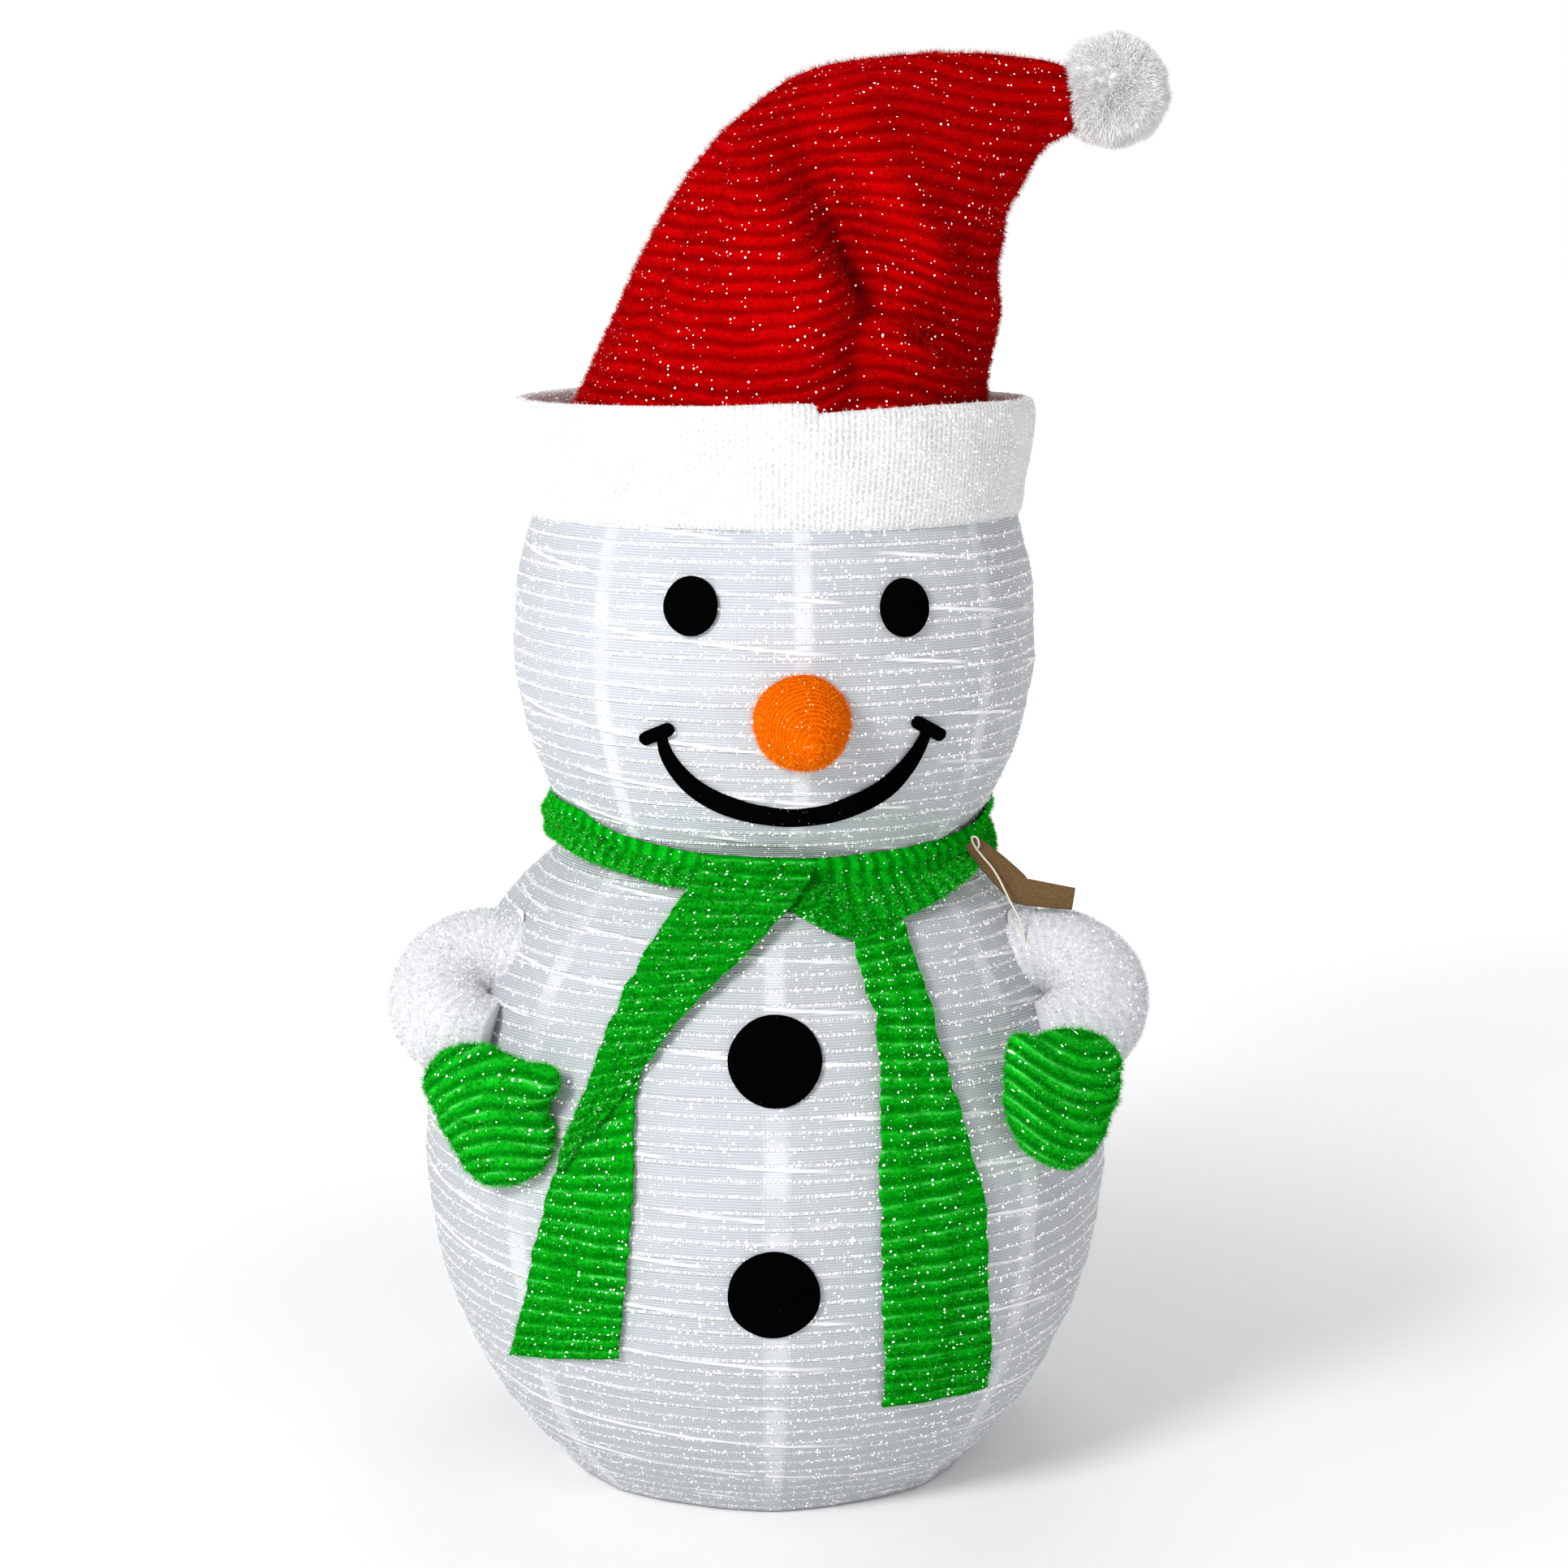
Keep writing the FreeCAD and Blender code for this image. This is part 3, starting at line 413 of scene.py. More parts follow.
class Cloth:
    """A grid of points with UVs in metres, which grows pile and becomes one mesh."""

    def __init__(self, points, uv, wrap=False):
        self.p = np.asarray(points, float)
        self.uv = np.asarray(uv, float)
        self.wrap = wrap
        self.extra = []

    def normals(self):
        p = self.p
        across = np.roll(p, -1, 1) - np.roll(p, 1, 1) if self.wrap else np.gradient(p, axis=1)
        n = np.cross(across, np.gradient(p, axis=0))
        return n / np.maximum(np.linalg.norm(n, axis=2, keepdims=True), 1e-12)

    def pile(self, count, length, width, seed, spread=1.1, row=ROW, keep=0.0, droop=0.0, side=1.0):
        """Fine upright strips, mostly along the rows; keep is the share that stands between them."""
        rng = np.random.default_rng(seed)
        rows, cols = self.p.shape[:2]
        n = self.normals() * side
        tries = count * 6
        i = rng.uniform(0, rows - 1.001, tries)
        j = rng.uniform(0, (cols if self.wrap else cols - 1) - 0.001, tries)
        i0, j0 = i.astype(int), j.astype(int)
        j1 = (j0 + 1) % cols if self.wrap else j0 + 1
        fi, fj = (i - i0)[:, None], (j - j0)[:, None]

        def at(a):
            low = a[i0, j0] * (1 - fj) + a[i0, j1] * fj
            high = a[i0 + 1, j0] * (1 - fj) + a[i0 + 1, j1] * fj
            return low * (1 - fi) + high * fi
        cell = np.linalg.norm(self.p[i0 + 1, j0] - self.p[i0, j0], axis=1)
        cell = cell * np.linalg.norm(self.p[i0, j1] - self.p[i0, j0], axis=1)
        v = self.uv[i0, j0, 1] * (1 - fi[:, 0]) + self.uv[i0 + 1, j0, 1] * fi[:, 0]
        off = np.abs(np.mod(v / row, 1.0) - 0.5)
        chance = (np.exp(-(off / 0.12) ** 2) + keep) * cell
        chance = chance / np.sort(chance)[-max(2, len(chance) // 50)]
        pick = np.nonzero(rng.uniform(0, 1, tries) < chance)[0][:count]
        base = at(self.p)[pick]
        direction = at(n)[pick] + rng.normal(0, spread, (len(pick), 3)) * 0.55
        direction[:, 2] -= droop
        direction /= np.linalg.norm(direction, axis=1, keepdims=True)
        side_way = np.cross(direction, rng.normal(0, 1, (len(pick), 3)))
        side_way /= np.linalg.norm(side_way, axis=1, keepdims=True)
        reach = (length * rng.uniform(0.5, 1.15, len(pick)))[:, None]
        half = width * 0.5
        self.extra.append(np.stack([base - side_way * half, base + side_way * half,
                                    base + direction * reach + side_way * half * 0.2], 1).reshape(-1, 3))

    def build(self, name, materials, thick=0.0, closed_ends=False, offset=-1.0, apart=False):
        """One mesh; the pile is in the last material, or apart in a piece of its own."""
        rows, cols = self.p.shape[:2]
        verts, flat = self.p.reshape(-1, 3), self.uv.reshape(-1, 2)
        faces = grid_faces(rows, cols, self.wrap)
        corners = flat[faces]
        if self.wrap:
            # where the grid closes, its corners go on past the last column
            span = np.ptp(flat[:, 0])
            behind = corners[..., 0].max(1, keepdims=True) - corners[..., 0] > span / 2
            corners[..., 0] += behind * span * cols / (cols - 1)
        coords = [corners.reshape(-1, 2)]
        if closed_ends:
            ends = [list(range(cols))[::-1], list(range((rows - 1) * cols, rows * cols))]
            coords += [flat[end] for end in ends]
            faces += ends
        cloth_faces = len(faces)
        tips = np.concatenate(self.extra) if self.extra else np.zeros((0, 3))
        if not apart:
            faces += (len(verts) + np.arange(len(tips))).reshape(-1, 3).tolist()
            coords.append(np.zeros((len(tips), 2)))
            verts = np.concatenate([verts, tips])
        obj = mesh_piece(name, verts, faces, materials)
        obj.data.uv_layers.new(name="UVMap").data.foreach_set("uv", np.concatenate(coords).ravel())
        slots = (np.arange(len(faces)) >= cloth_faces) * (len(materials) - 1)
        obj.data.polygons.foreach_set("material_index", slots.astype(np.int32))
        if thick:
            solid = obj.modifiers.new("thick", "SOLIDIFY")
            solid.thickness = thick
            solid.offset = offset
            apply_modifiers(obj)
        if apart:
            tips[:, 2] = np.maximum(tips[:, 2], ABOVE_FLOOR)
            triangles = np.arange(len(tips)).reshape(-1, 3).tolist()
            PILE[name] = mesh_piece(name + "_pile", tips, triangles, materials[-1:], smooth=False)
        return obj


def grid_faces(rows, cols, wrap, base=0):
    i = np.arange(rows - 1)[:, None]
    j = np.arange(cols if wrap else cols - 1)[None]
    k = (j + 1) % cols
    quads = np.stack([i * cols + j, i * cols + k, (i + 1) * cols + k, (i + 1) * cols + j], 2)
    return (base + quads.reshape(-1, 4)).tolist()


def mesh_piece(name, verts, faces, materials, smooth=True):
    mesh = bpy.data.meshes.new(name)
    mesh.from_pydata(np.asarray(verts).tolist(), [], faces)
    if smooth:
        mesh.shade_smooth()
    for material in materials:
        mesh.materials.append(material)
    return placed(name, mesh)


def apply_modifiers(obj):
    bpy.context.view_layer.update()
    graph = bpy.context.evaluated_depsgraph_get()
    new = bpy.data.meshes.new_from_object(obj.evaluated_get(graph), preserve_all_data_layers=True, depsgraph=graph)
    obj.modifiers.clear()
    obj.data = new


def table(*columns):
    """Numbers or rows and columns of them, all spread to the full grid, as one array of points."""
    return np.stack(np.broadcast_arrays(*columns), -1)


def lean(z):
    """The head stands a little to the right of the body."""
    t = np.clip((np.asarray(z, float) - 0.44) / 0.14, 0, 1)
    return -0.0030 + 0.0080 * t * t * (3 - 2 * t)


def around(degrees, radius, height):
    """A place about the leaning axis; the front is at 0 degrees and the right at 90."""
    a = np.radians(degrees)
    return table(radius * np.sin(a) + lean(height), -radius * np.cos(a), height)


def seen_at(degrees, radius, height):
    """The azimuth about the leaning axis of a place given about the pole."""
    return np.degrees(np.arcsin(np.clip(np.sin(np.radians(degrees)) - lean(height) / radius, -1, 1)))


def path_length(points):
    return np.concatenate([[0.0], np.cumsum(np.linalg.norm(np.diff(points, axis=0), axis=1))])


# ---------------------------------------------------------------- profiles, from the CAD arcs

NECK = 0.512
body_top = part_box("body_cover")[1][2]
head_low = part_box("head_cover")[0][2]
head_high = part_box("head_cover")[1][2]
body_r = smooth_curve([-0.01, 0.0, 0.05, 0.10, 0.17, 0.25, 0.33, 0.40, 0.46, 0.50, body_top],
                      [0.158, 0.1668, 0.2118, 0.2412, 0.2670, 0.2775, 0.2722, 0.2492, 0.2138, 0.1775, 0.1660])
head_r = smooth_curve([head_low, 0.54, 0.57, 0.61, 0.66, 0.71, 0.76, 0.80, 0.84, head_high],
                      [0.1580, 0.1712, 0.1860, 0.1995, 0.2080, 0.2068, 0.1972, 0.1838, 0.1640, 0.1515])


white_pile = strand_mat("white_tinsel_strands", (0.93, 0.94, 0.96), 0.08, 0.35)


def cover_points(radius, low, high, first_seam, rows, cols):
    """The cloth of a cover, drawn in a little between its seams and pushed out by the spring wire."""
    u = np.linspace(0, 1, cols, endpoint=False)[None]
    z = np.linspace(low, high, rows)[:, None]
    length = path_length(np.hstack([radius(z), z]))[:, None]
    degrees = 360.0 * u
    between = np.abs(np.sin(np.radians(PANELS / 2 * (degrees - first_seam))))
    wire = np.mod((length + u * WIRE_CLIMB) / WIRE_PITCH, 1.0) - 0.5
    r = radius(z) + 0.0022 - 0.0030 * between
    r = r + 0.0012 * (np.exp(-(wire / 0.09) ** 2) - 0.25) * (0.35 + 0.65 * between)
    r = r + 0.0006 * np.sin(degrees * 0.31 + z * 90) * np.sin(degrees * 0.11 + 2.0)
    return Cloth(around(degrees, r, z), table(u, length), wrap=True)


# ---------------------------------------------------------------- body and head

NECK_TRAVEL = 0.30
CROWN_TRAVEL = 0.22
CROWN = 0.856
UP = (0, 0, 1)
BODY_KEEP = 1 - NECK_TRAVEL / NECK
HEAD_KEEP = 1 - CROWN_TRAVEL / (CROWN - NECK)


def with_body(obj):
    ride(obj, "stand")
    return squash(obj, "neck_drop", axis=UP, anchor=(0, 0, 0), keep=BODY_KEEP)


def with_head(obj):
    ride(obj, "neck")
    return squash(obj, "crown_drop", axis=UP, anchor=(0, 0, NECK), keep=HEAD_KEEP)


def cover(part, radius, low, high, first_seam, flat, area, strands, seed):
    rows, cols = ((190, 240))
    cloth = cover_points(radius, low, high, first_seam, rows, cols)
    cloth.pile(strands, 0.0040, 0.00045, seed, keep=0.04)
    look = cover_cloth(part + "_cloth_cloth", flat[0], first_seam)
    obj = cloth.build(part + "_cloth", [look, white_pile], thick=0.0008, apart=True)
    stands_for(obj, part + "_cover", finish="tinsel_cloth")
    sheet(obj, flat=flat, held="stretched", rests_on=[part + "_coil_wire"], area=area)
    return obj


with_body(cover("body", body_r, 0.001, body_top, 2.0, (1.66, 0.60), 0.83, 26000, 3))
with_head(cover("head", head_r, head_low, head_high, 6.0, (1.27, 0.37), 0.44, 16000, 5))

fibre_twine = Mat("cream_twine", rough=0.95)
twist = fibre_twine.noise(fibre_twine.objxyz(), 1500.0, 3.0, 0.7)
fibre_twine.colour(fibre_twine.mix(twist, (0.52, 0.46, 0.34), (0.90, 0.86, 0.76)))
fibre_twine.bump(twist, 0.0003)
curve.materials.append(fibre_twine.m)


# ---------------------------------------------------------------- hidden cloth and wire

def one_mesh(name, grids, material, wrap=True):
    """Several small grids as one piece."""
    verts, faces = [], []
    for points in grids:
        faces += grid_faces(*points.shape[:2], wrap, len(verts))
        verts += points.reshape(-1, 3).tolist()
    return mesh_piece(name, verts, faces, [material])


def tube_points(line, radius, sides=8):
    """Rings of points round a line; radius may vary along it."""
    line = np.asarray(line, float)
    radius = np.asarray(radius, float) * np.ones(len(line))
    ahead = np.gradient(line, axis=0)
    ahead /= np.linalg.norm(ahead, axis=1, keepdims=True)
    up = np.array([0.03, 0.05, 1.0])
    rings = []
    side = np.cross(ahead[0], up if abs(ahead[0][2]) < 0.9 else np.array([1.0, 0, 0]))
    for centre, way, r in zip(line, ahead, radius):
        side = side - way * side.dot(way)
        side /= np.linalg.norm(side)
        other = np.cross(way, side)
        a = np.linspace(0, 2 * math.pi, sides, endpoint=False)[:, None]
        rings.append(centre + r * (np.cos(a) * side - np.sin(a) * other))
    return np.array(rings)


white_wire = plain("coated_wire", (0.80, 0.80, 0.80), (0.90, 0.90, 0.90), 60, 0.35, bump=0.0001)
white_weave = plain("white_weave", (0.80, 0.80, 0.81), (0.93, 0.93, 0.94), 700, 0.95, bump=0.0004, sheen=0.3)


def coil(part, profile, start, pitch, turns):
    """The spring wire inside a cover; start and pitch are in millimetres."""
    t = np.linspace(0, turns, int(turns * 56))
    z = (start + pitch * t) * MM
    line = around(360 * t, 0, z) + around(360 * t, 1, 0) * (profile(z) - 0.0058)[:, None]
    obj = one_mesh(part + "_coil_wire", [tube_points(line, 0.0015, 6)], white_wire)
    return stands_for(obj, part + "_coil", finish="spring_wire")


def tapes(part, profile, low, high, first):
    """The tapes behind a cover's seams, 1.8 degrees wide."""
    z = np.linspace(low, high, 40)[:, None]
    wide = np.linspace(-0.9, 0.9, 3)[None]
    strips = [around(first + 360 / PANELS * k + wide, profile(z) - 0.0030, z) for k in range(PANELS)]
    return stands_for(one_mesh(part + "_seam_tape_strips", strips, white_weave, wrap=False), part + "_seam_tapes")


with_body(coil("body", body_r, 20, 39.5, 12))
with_head(coil("head", head_r, 531, 42, 7))
with_body(tapes("body", body_r, 0.004, 0.505, 2.0))
with_head(tapes("head", head_r, 0.523, 0.850, 6.0))


def turned(name, outline, material, columns=96):
    """A soft ring or disc: an outline of (radius, height) turned about the pole, slightly puckered."""
    outline = np.array(outline)
    a = np.linspace(0, 360, columns, endpoint=False)
    pucker = 1 + 0.0025 * np.sin(np.radians(a) * 24)
    return one_mesh(name, [np.stack([around(a, r * pucker, z) for r, z in outline])], material)


def circle_outline(radius, height, r, count=14):
    t = np.linspace(0, 2 * math.pi, count + 1)
    return np.stack([radius + r * np.cos(t), height - r * np.sin(t)], 1)


DISC = [(0.0175, 0.8594), (0.06, 0.8588), (0.11, 0.8590), (0.1455, 0.8594),
        (0.1465, 0.8600), (0.11, 0.8600), (0.06, 0.8599), (0.0175, 0.8602)]
stands_for(turned("neck_band_cloth", circle_outline(0.157, NECK, 0.0058), white_weave), "neck_band", body="neck")
stands_for(turned("crown_cloth_disc", DISC, white_weave), "crown_cloth", body="crown")


# ---------------------------------------------------------------- felt face and buttons

black_felt = felt("black_felt")


def slope_of(profile, z):
    return (profile(z + MM) - profile(z - MM)) / (2 * MM)


def on_surface(profile, azimuth, z, lift):
    """Points above a cover at an azimuth in degrees and a height, lifted along the cover's normal."""
    slope = slope_of(profile, z)
    out = 1 / np.sqrt(1 + slope ** 2)
    a = np.radians(azimuth)
    r = profile(z) + lift * out
    return np.stack([r * np.sin(a) + lean(z), -r * np.cos(a), z - lift * out * slope], -1)


def from_front(profile, x, z, lift):
    """The same for a place given by x and height."""
    return on_surface(profile, np.degrees(np.arcsin(np.clip((x - lean(z)) / profile(z), -1, 1))), z, lift)


def cut_felt(name, points, uv, thick, *nodes):
    """A felt shape from the grid of its front, thickened toward the cover."""
    cloth = Cloth(points, uv)
    rows, cols = points.shape[:2]
    out = np.sign(-cloth.normals()[rows // 2, cols // 2, 1])
    return stands_for(cloth.build(name, [black_felt], thick=thick, offset=-out), *nodes, finish="felt_black")


def strip_of_felt(name, x, z, half, thick, *nodes):
    """A strip about a centre line on the face, with its half width along the line."""
    dx, dz = np.gradient(x), np.gradient(z)
    norm = np.hypot(dx, dz)
    over = np.linspace(-1, 1, 7)[None] * half[:, None]
    x = x[:, None] - (dz / norm)[:, None] * over
    z = z[:, None] + (dx / norm)[:, None] * over
    return with_head(cut_felt(name, from_front(head_r, x, z, 0.0006 + thick), table(x, z), thick, *nodes))


def disc(name, profile, centre_deg, centre_z, radius, node, thick, seed, tall=1.0):
    """A round of felt, cut a little unevenly by hand and bevelled by its edge."""
    rng = np.random.default_rng(seed)
    a = np.linspace(0, 2 * math.pi, 60)[:, None]
    wobble = sum(rng.uniform(-0.006, 0.006) * np.cos(k * a + rng.uniform(0, 6)) for k in range(2, 7))
    rho = np.linspace(0.001, 1, 15)[None] * (1 + wobble) * radius
    x, y = rho * np.cos(a), rho * np.sin(a)
    z = centre_z + y * tall / math.hypot(1, float(slope_of(profile, centre_z)))
    degrees = seen_at(centre_deg, profile(centre_z), centre_z) + np.degrees(x / profile(z))
    points = on_surface(profile, degrees, z, 0.0008 + thick * (1 - 0.25 * (rho / radius) ** 6))
    return cut_felt(name, points, table(x, y), thick, node)


with_head(disc("eye_left_felt", head_r, -16.1, 0.7205, 0.0212, "eye_left", 0.0028, 1, 1.05))
with_head(disc("eye_right_felt", head_r, 29.6, 0.7178, 0.0208, "eye_right", 0.0028, 2, 1.06))
with_body(disc("button_upper_felt", body_r, 1.2, 0.3860, 0.0348, "button_upper", 0.0045, 3))
with_body(disc("button_lower_felt", body_r, 0.9, 0.2135, 0.0346, "button_lower", 0.0045, 4))

# the smile: centre line in x and z, with its half width
smile = np.array([(-80, 626, 3.0), (-77.5, 612, 4.2), (-69, 596, 5.6), (-53, 580, 6.8), (-31, 568.5, 7.4),
                  (-6, 561.5, 7.0), (18, 559.2, 7.0), (42, 561.2, 7.2), (66, 568.2, 7.6), (87, 579, 7.4),
                  (104, 596, 6.0), (115, 613, 4.2), (120.5, 626, 3.0)]) * MM
steps = path_length(smile[:, :2])
fine = np.linspace(0, steps[-1], 90)
strip_of_felt("mouth_felt", *(smooth_curve(steps, smile[:, k])(fine) for k in range(3)), 0.0028, "mouth")


def bar(name, x0, z0, x1, z1, half, *nodes):
    """A short straight strip with round ends."""
    t = np.linspace(-1, 1, 25)
    long = math.hypot(x1 - x0, z1 - z0) / 2
    end = np.clip((np.abs(t) * long - (long - half)) / half, 0, 1)
    width = half * np.sqrt(np.clip(1 - end ** 2, 0.002, 1))
    strip_of_felt(name, (x0 + x1 + t * (x1 - x0)) / 2, (z0 + z1 + t * (z1 - z0)) / 2, width, 0.0032, *nodes)


bar("mouth_bar_left", -0.0955, 0.6170, -0.0705, 0.6290, 0.0052, "mouth_corners")
bar("mouth_bar_right", 0.1085, 0.6330, 0.1325, 0.6170, 0.0052)


# ---------------------------------------------------------------- nose

orange = pile_cloth("orange_tinsel_cloth", (0.66, 0.085, 0.0), (0.95, 0.17, 0.001), (1.0, 0.25, 0.004), period=0.0045,
                    light=0.35, spark=0.05, wander=0.0012, glint=(1.0, 0.85, 0.5), cell=0.0028, streak=0.6)
orange_pile = strand_mat("orange_tinsel_strands", (0.95, 0.21, 0.003), 0.3)


def flat_way(degrees):
    """The level direction that faces out at an azimuth, and the one to its right."""
    a = math.radians(degrees)
    return np.array([math.sin(a), -math.cos(a), 0.0]), np.array([math.cos(a), math.sin(a), 0.0])


def outward(cloth, row, way):
    """+1 where the cloth's normals point the given way at a row's first column, otherwise -1."""
    return np.sign(cloth.normals()[row, 0].dot(way))


def nose():
    out, side = flat_way(6.8)
    centre = np.array([0.0243, -0.2015, 0.6355])
    profile = smooth_curve([0, 0.06, 0.18, 0.34, 0.52, 0.70, 0.84, 0.94, 1.0],
                           [0.0345, 0.0358, 0.0352, 0.0318, 0.0262, 0.0195, 0.0132, 0.0075, 0.0004])
    t = np.linspace(0, 1, 70)[:, None]
    a = np.linspace(0, 2 * math.pi, 64, endpoint=False)
    ring = profile(t) * (1 + 0.010 * np.sin(5 * a + 3 * t) + 0.004 * np.sin(t * 2 * math.pi * 14))
    axis = centre + out * (t * 0.078 - 0.004) - np.array(UP) * 0.010 * t ** 1.5 + side * 0.003 * t
    points = axis[:, None] + ring[:, :, None] * (np.cos(a)[:, None] * side + np.sin(a)[:, None] * np.array(UP))
    cloth = Cloth(points, table(a * 0.03, t * 0.085), wrap=True)
    cloth.pile(7000, 0.0042, 0.00042, 11, spread=1.0, row=0.0045, keep=0.3, side=outward(cloth, 20, side))
    obj = cloth.build("nose_cloth", [orange, orange_pile])
    return with_head(stands_for(obj, "nose_cover", "nose_fill", finish="orange_tinsel"))


nose()


# ---------------------------------------------------------------- scarf

SCARF_ROW = 0.0132
SOFT_RING = 0.178  # the scarf's own radius where it goes round the neck
green = pile_cloth("green_tinsel_cloth", (0.0, 0.15, 0.002), (0.002, 0.42, 0.008), (0.08, 0.78, 0.12),
                   period=SCARF_ROW, light=0.8, spark=0.16, wander=0.003)
green_flat = pile_cloth("green_tinsel_turned", (0.0, 0.16, 0.003), (0.001, 0.42, 0.009), (0.02, 0.56, 0.03),
                        period=SCARF_ROW, light=0.4, spark=0.05, wander=0.003, depth=0.0010)
green_pile = strand_mat("green_tinsel_strands", (0.006, 0.44, 0.012), 0.5)


def hug(z):
    return np.where(z > 0.5155, np.maximum(head_r(z), 0.163), np.maximum(body_r(z), 0.163))


def scarf_piece(name, cloth, material, strands, length, seed, keep, width, run, **held):
    cloth.pile(strands, length, 0.00050, seed, row=SCARF_ROW, keep=keep)
    obj = cloth.build(name, [material, green_pile], thick=0.0026, apart=True)
    stands_for(obj, body="neck", finish="green_tinsel")
    squash(obj, "neck_drop", axis=UP, anchor=(0, 0, NECK), keep=BODY_KEEP)
    sheet(obj, flat=(round(float(width), 3), round(float(run), 3)), **held)
    return obj


def edges(stations, spacing, mm_per_degree, least):
    """Both edges at even steps along a strip; a station is (azimuth, mm) at one edge, then at the other."""
    st = np.array(stations, float)
    s = path_length(table((st[:, 0] + st[:, 2]) / 2 * mm_per_degree, (st[:, 1] + st[:, 3]) / 2))
    t = np.linspace(0, s[-1], max(least, int(s[-1] / spacing)))
    return t, [smooth_curve(s, st[:, k])(t) for k in range(4)]


def ribbon(name, stations, rise, strands, seed, folds, curl=0.0):
    """A flat length of scarf laid over the covers, top to hem; rise is how far it stands off, there and below."""
    t, columns = edges(stations, 3.0, 4.6, 24)
    t, az0, z0, az1, z1 = (c[:, None] for c in (t, *columns))
    x = np.linspace(0, 1, 34)[None]
    az = az0 + (az1 - az0) * x
    z = (z0 + (z1 - z0) * x) * MM
    up = rise[0] + (rise[1] - rise[0]) * np.clip(t / t[-1] * 1.6, 0, 1)
    up = up + folds * np.sin(2 * math.pi * (x * 2.3 + t * 0.004 + seed)) * np.sin(math.pi * x)
    up = up - curl * (np.abs(2 * x - 1) ** 6)
    edge = np.random.default_rng(seed).normal(0, 1, (len(t), 2))
    edge = (edge + np.roll(edge, 1, 0) + np.roll(edge, 2, 0)) * 0.10
    az = az + edge[:, :1] * (1 - x) ** 8 + edge[:, 1:] * x ** 8
    r = hug(z) + up + 0.0035
    points = around(seen_at(az, r, z), r, z)[::-1]
    along = path_length(points[:, 17])[:, None]
    width = np.linalg.norm(points[:, -1] - points[:, 0], axis=1).mean()
    return scarf_piece(name, Cloth(points, table(x * 0.085, along)), green, strands, 0.0050, seed, 0.35,
                       width, along.max(), held="hung", rests_on=["body_cloth"])


TAIL_A = [(-15.0, 530, 11.5, 527), (-16.0, 517, 9.4, 513), (-20.4, 489, 3.0, 489), (-24.3, 452, -5.2, 459),
          (-27.3, 415, -13.9, 422), (-29.2, 380, -19.3, 390), (-31.2, 343, -23.9, 356), (-33.1, 318, -28.8, 327),
          (-33.8, 298, -32.8, 302)]
TAIL_B = [(-24.0, 425, -17.0, 430), (-27.0, 398, -19.5, 405), (-29.6, 368, -21.2, 382), (-32.2, 333, -21.4, 352),
          (-35.3, 291, -21.2, 300), (-38.3, 244, -21.8, 244), (-42.6, 190, -23.3, 197), (-50.1, 135, -25.1, 157),
          (-51.8, 128, -25.3, 152)]
TAIL_C = [(15.0, 486, 29.5, 494), (17.1, 473, 29.6, 480), (17.7, 445, 29.5, 447), (18.9, 412, 29.6, 407),
          (18.4, 372, 30.6, 367), (17.6, 320, 32.7, 318), (17.5, 272, 35.3, 276), (18.1, 208, 37.0, 206),
          (20.3, 124, 42.2, 118), (20.6, 110, 43.4, 106)]
STRAND = [(-3.0, 515, -6.0, 494), (7.3, 512, 1.5, 493), (17.5, 502, 9.7, 481), (25.0, 492, 13.6, 474),
          (30.1, 479, 16.4, 470)]
ribbon("scarf_tail_left_under", TAIL_B, (0.0020, 0.0020), 12000, 21, folds=0.0010)
ribbon("scarf_tail_right", TAIL_C, (0.0060, 0.0020), 16000, 22, folds=0.0014)
over = ribbon("scarf_tail_left_over", TAIL_A, (0.0270, 0.0075), 16000, 23, folds=0.0012, curl=0.002)
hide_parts("scarf")


def across_strand(name, strands, seed):
    """The ply that runs sideways to the right tail, from its upper edge to its lower."""
    t, (az0, z0, az1, z1) = edges(STRAND, 2.5, 3.2, 30)
    x = np.linspace(1, 0, 22)[:, None]
    z = (z0 + (z1 - z0) * x) * MM
    r = hug(z) + 0.013 + 0.006 * np.sin(math.pi * x) - 0.006 * t / t[-1]
    points = around(az0 + (az1 - az0) * x, r, z)
    along = path_length(points[11])
    width = np.linalg.norm(points[-1] - points[0], axis=1).mean()
    return scarf_piece(name, Cloth(points, table(x * 0.06, along)), green, strands, 0.0048, seed, 0.5,
                       width, along.max(), held="hung", rests_on=["body_cloth"])


across_strand("scarf_strand_to_tail", 7000, 24)

# upper and lower edges of the rounds: (azimuth, mm)
TOPS = [(-185, 546), (-120, 548), (-76, 550), (-59.8, 547), (-53, 541), (-40, 533), (-26, 527), (-16, 524),
        (0, 522), (11, 522), (34, 523), (54, 526), (67, 532), (90, 542), (130, 546), (175, 546)]
LOWS = [(-185, 506), (-120, 512), (-76, 517), (-54, 513.5), (-37, 508), (-23, 504), (-16, 503), (0, 503),
        (12, 504), (30, 499), (47, 503), (64, 510), (90, 512), (130, 508), (175, 506)]
FOLD_TOP = [(2, 512), (18, 506), (32, 503), (47, 506), (64, 514), (90, 524), (130, 528), (172, 530)]
FOLD_LOW = [(2, 494), (18, 479), (29, 480), (36, 484), (50, 496), (64, 503), (90, 505), (130, 500), (172, 498)]


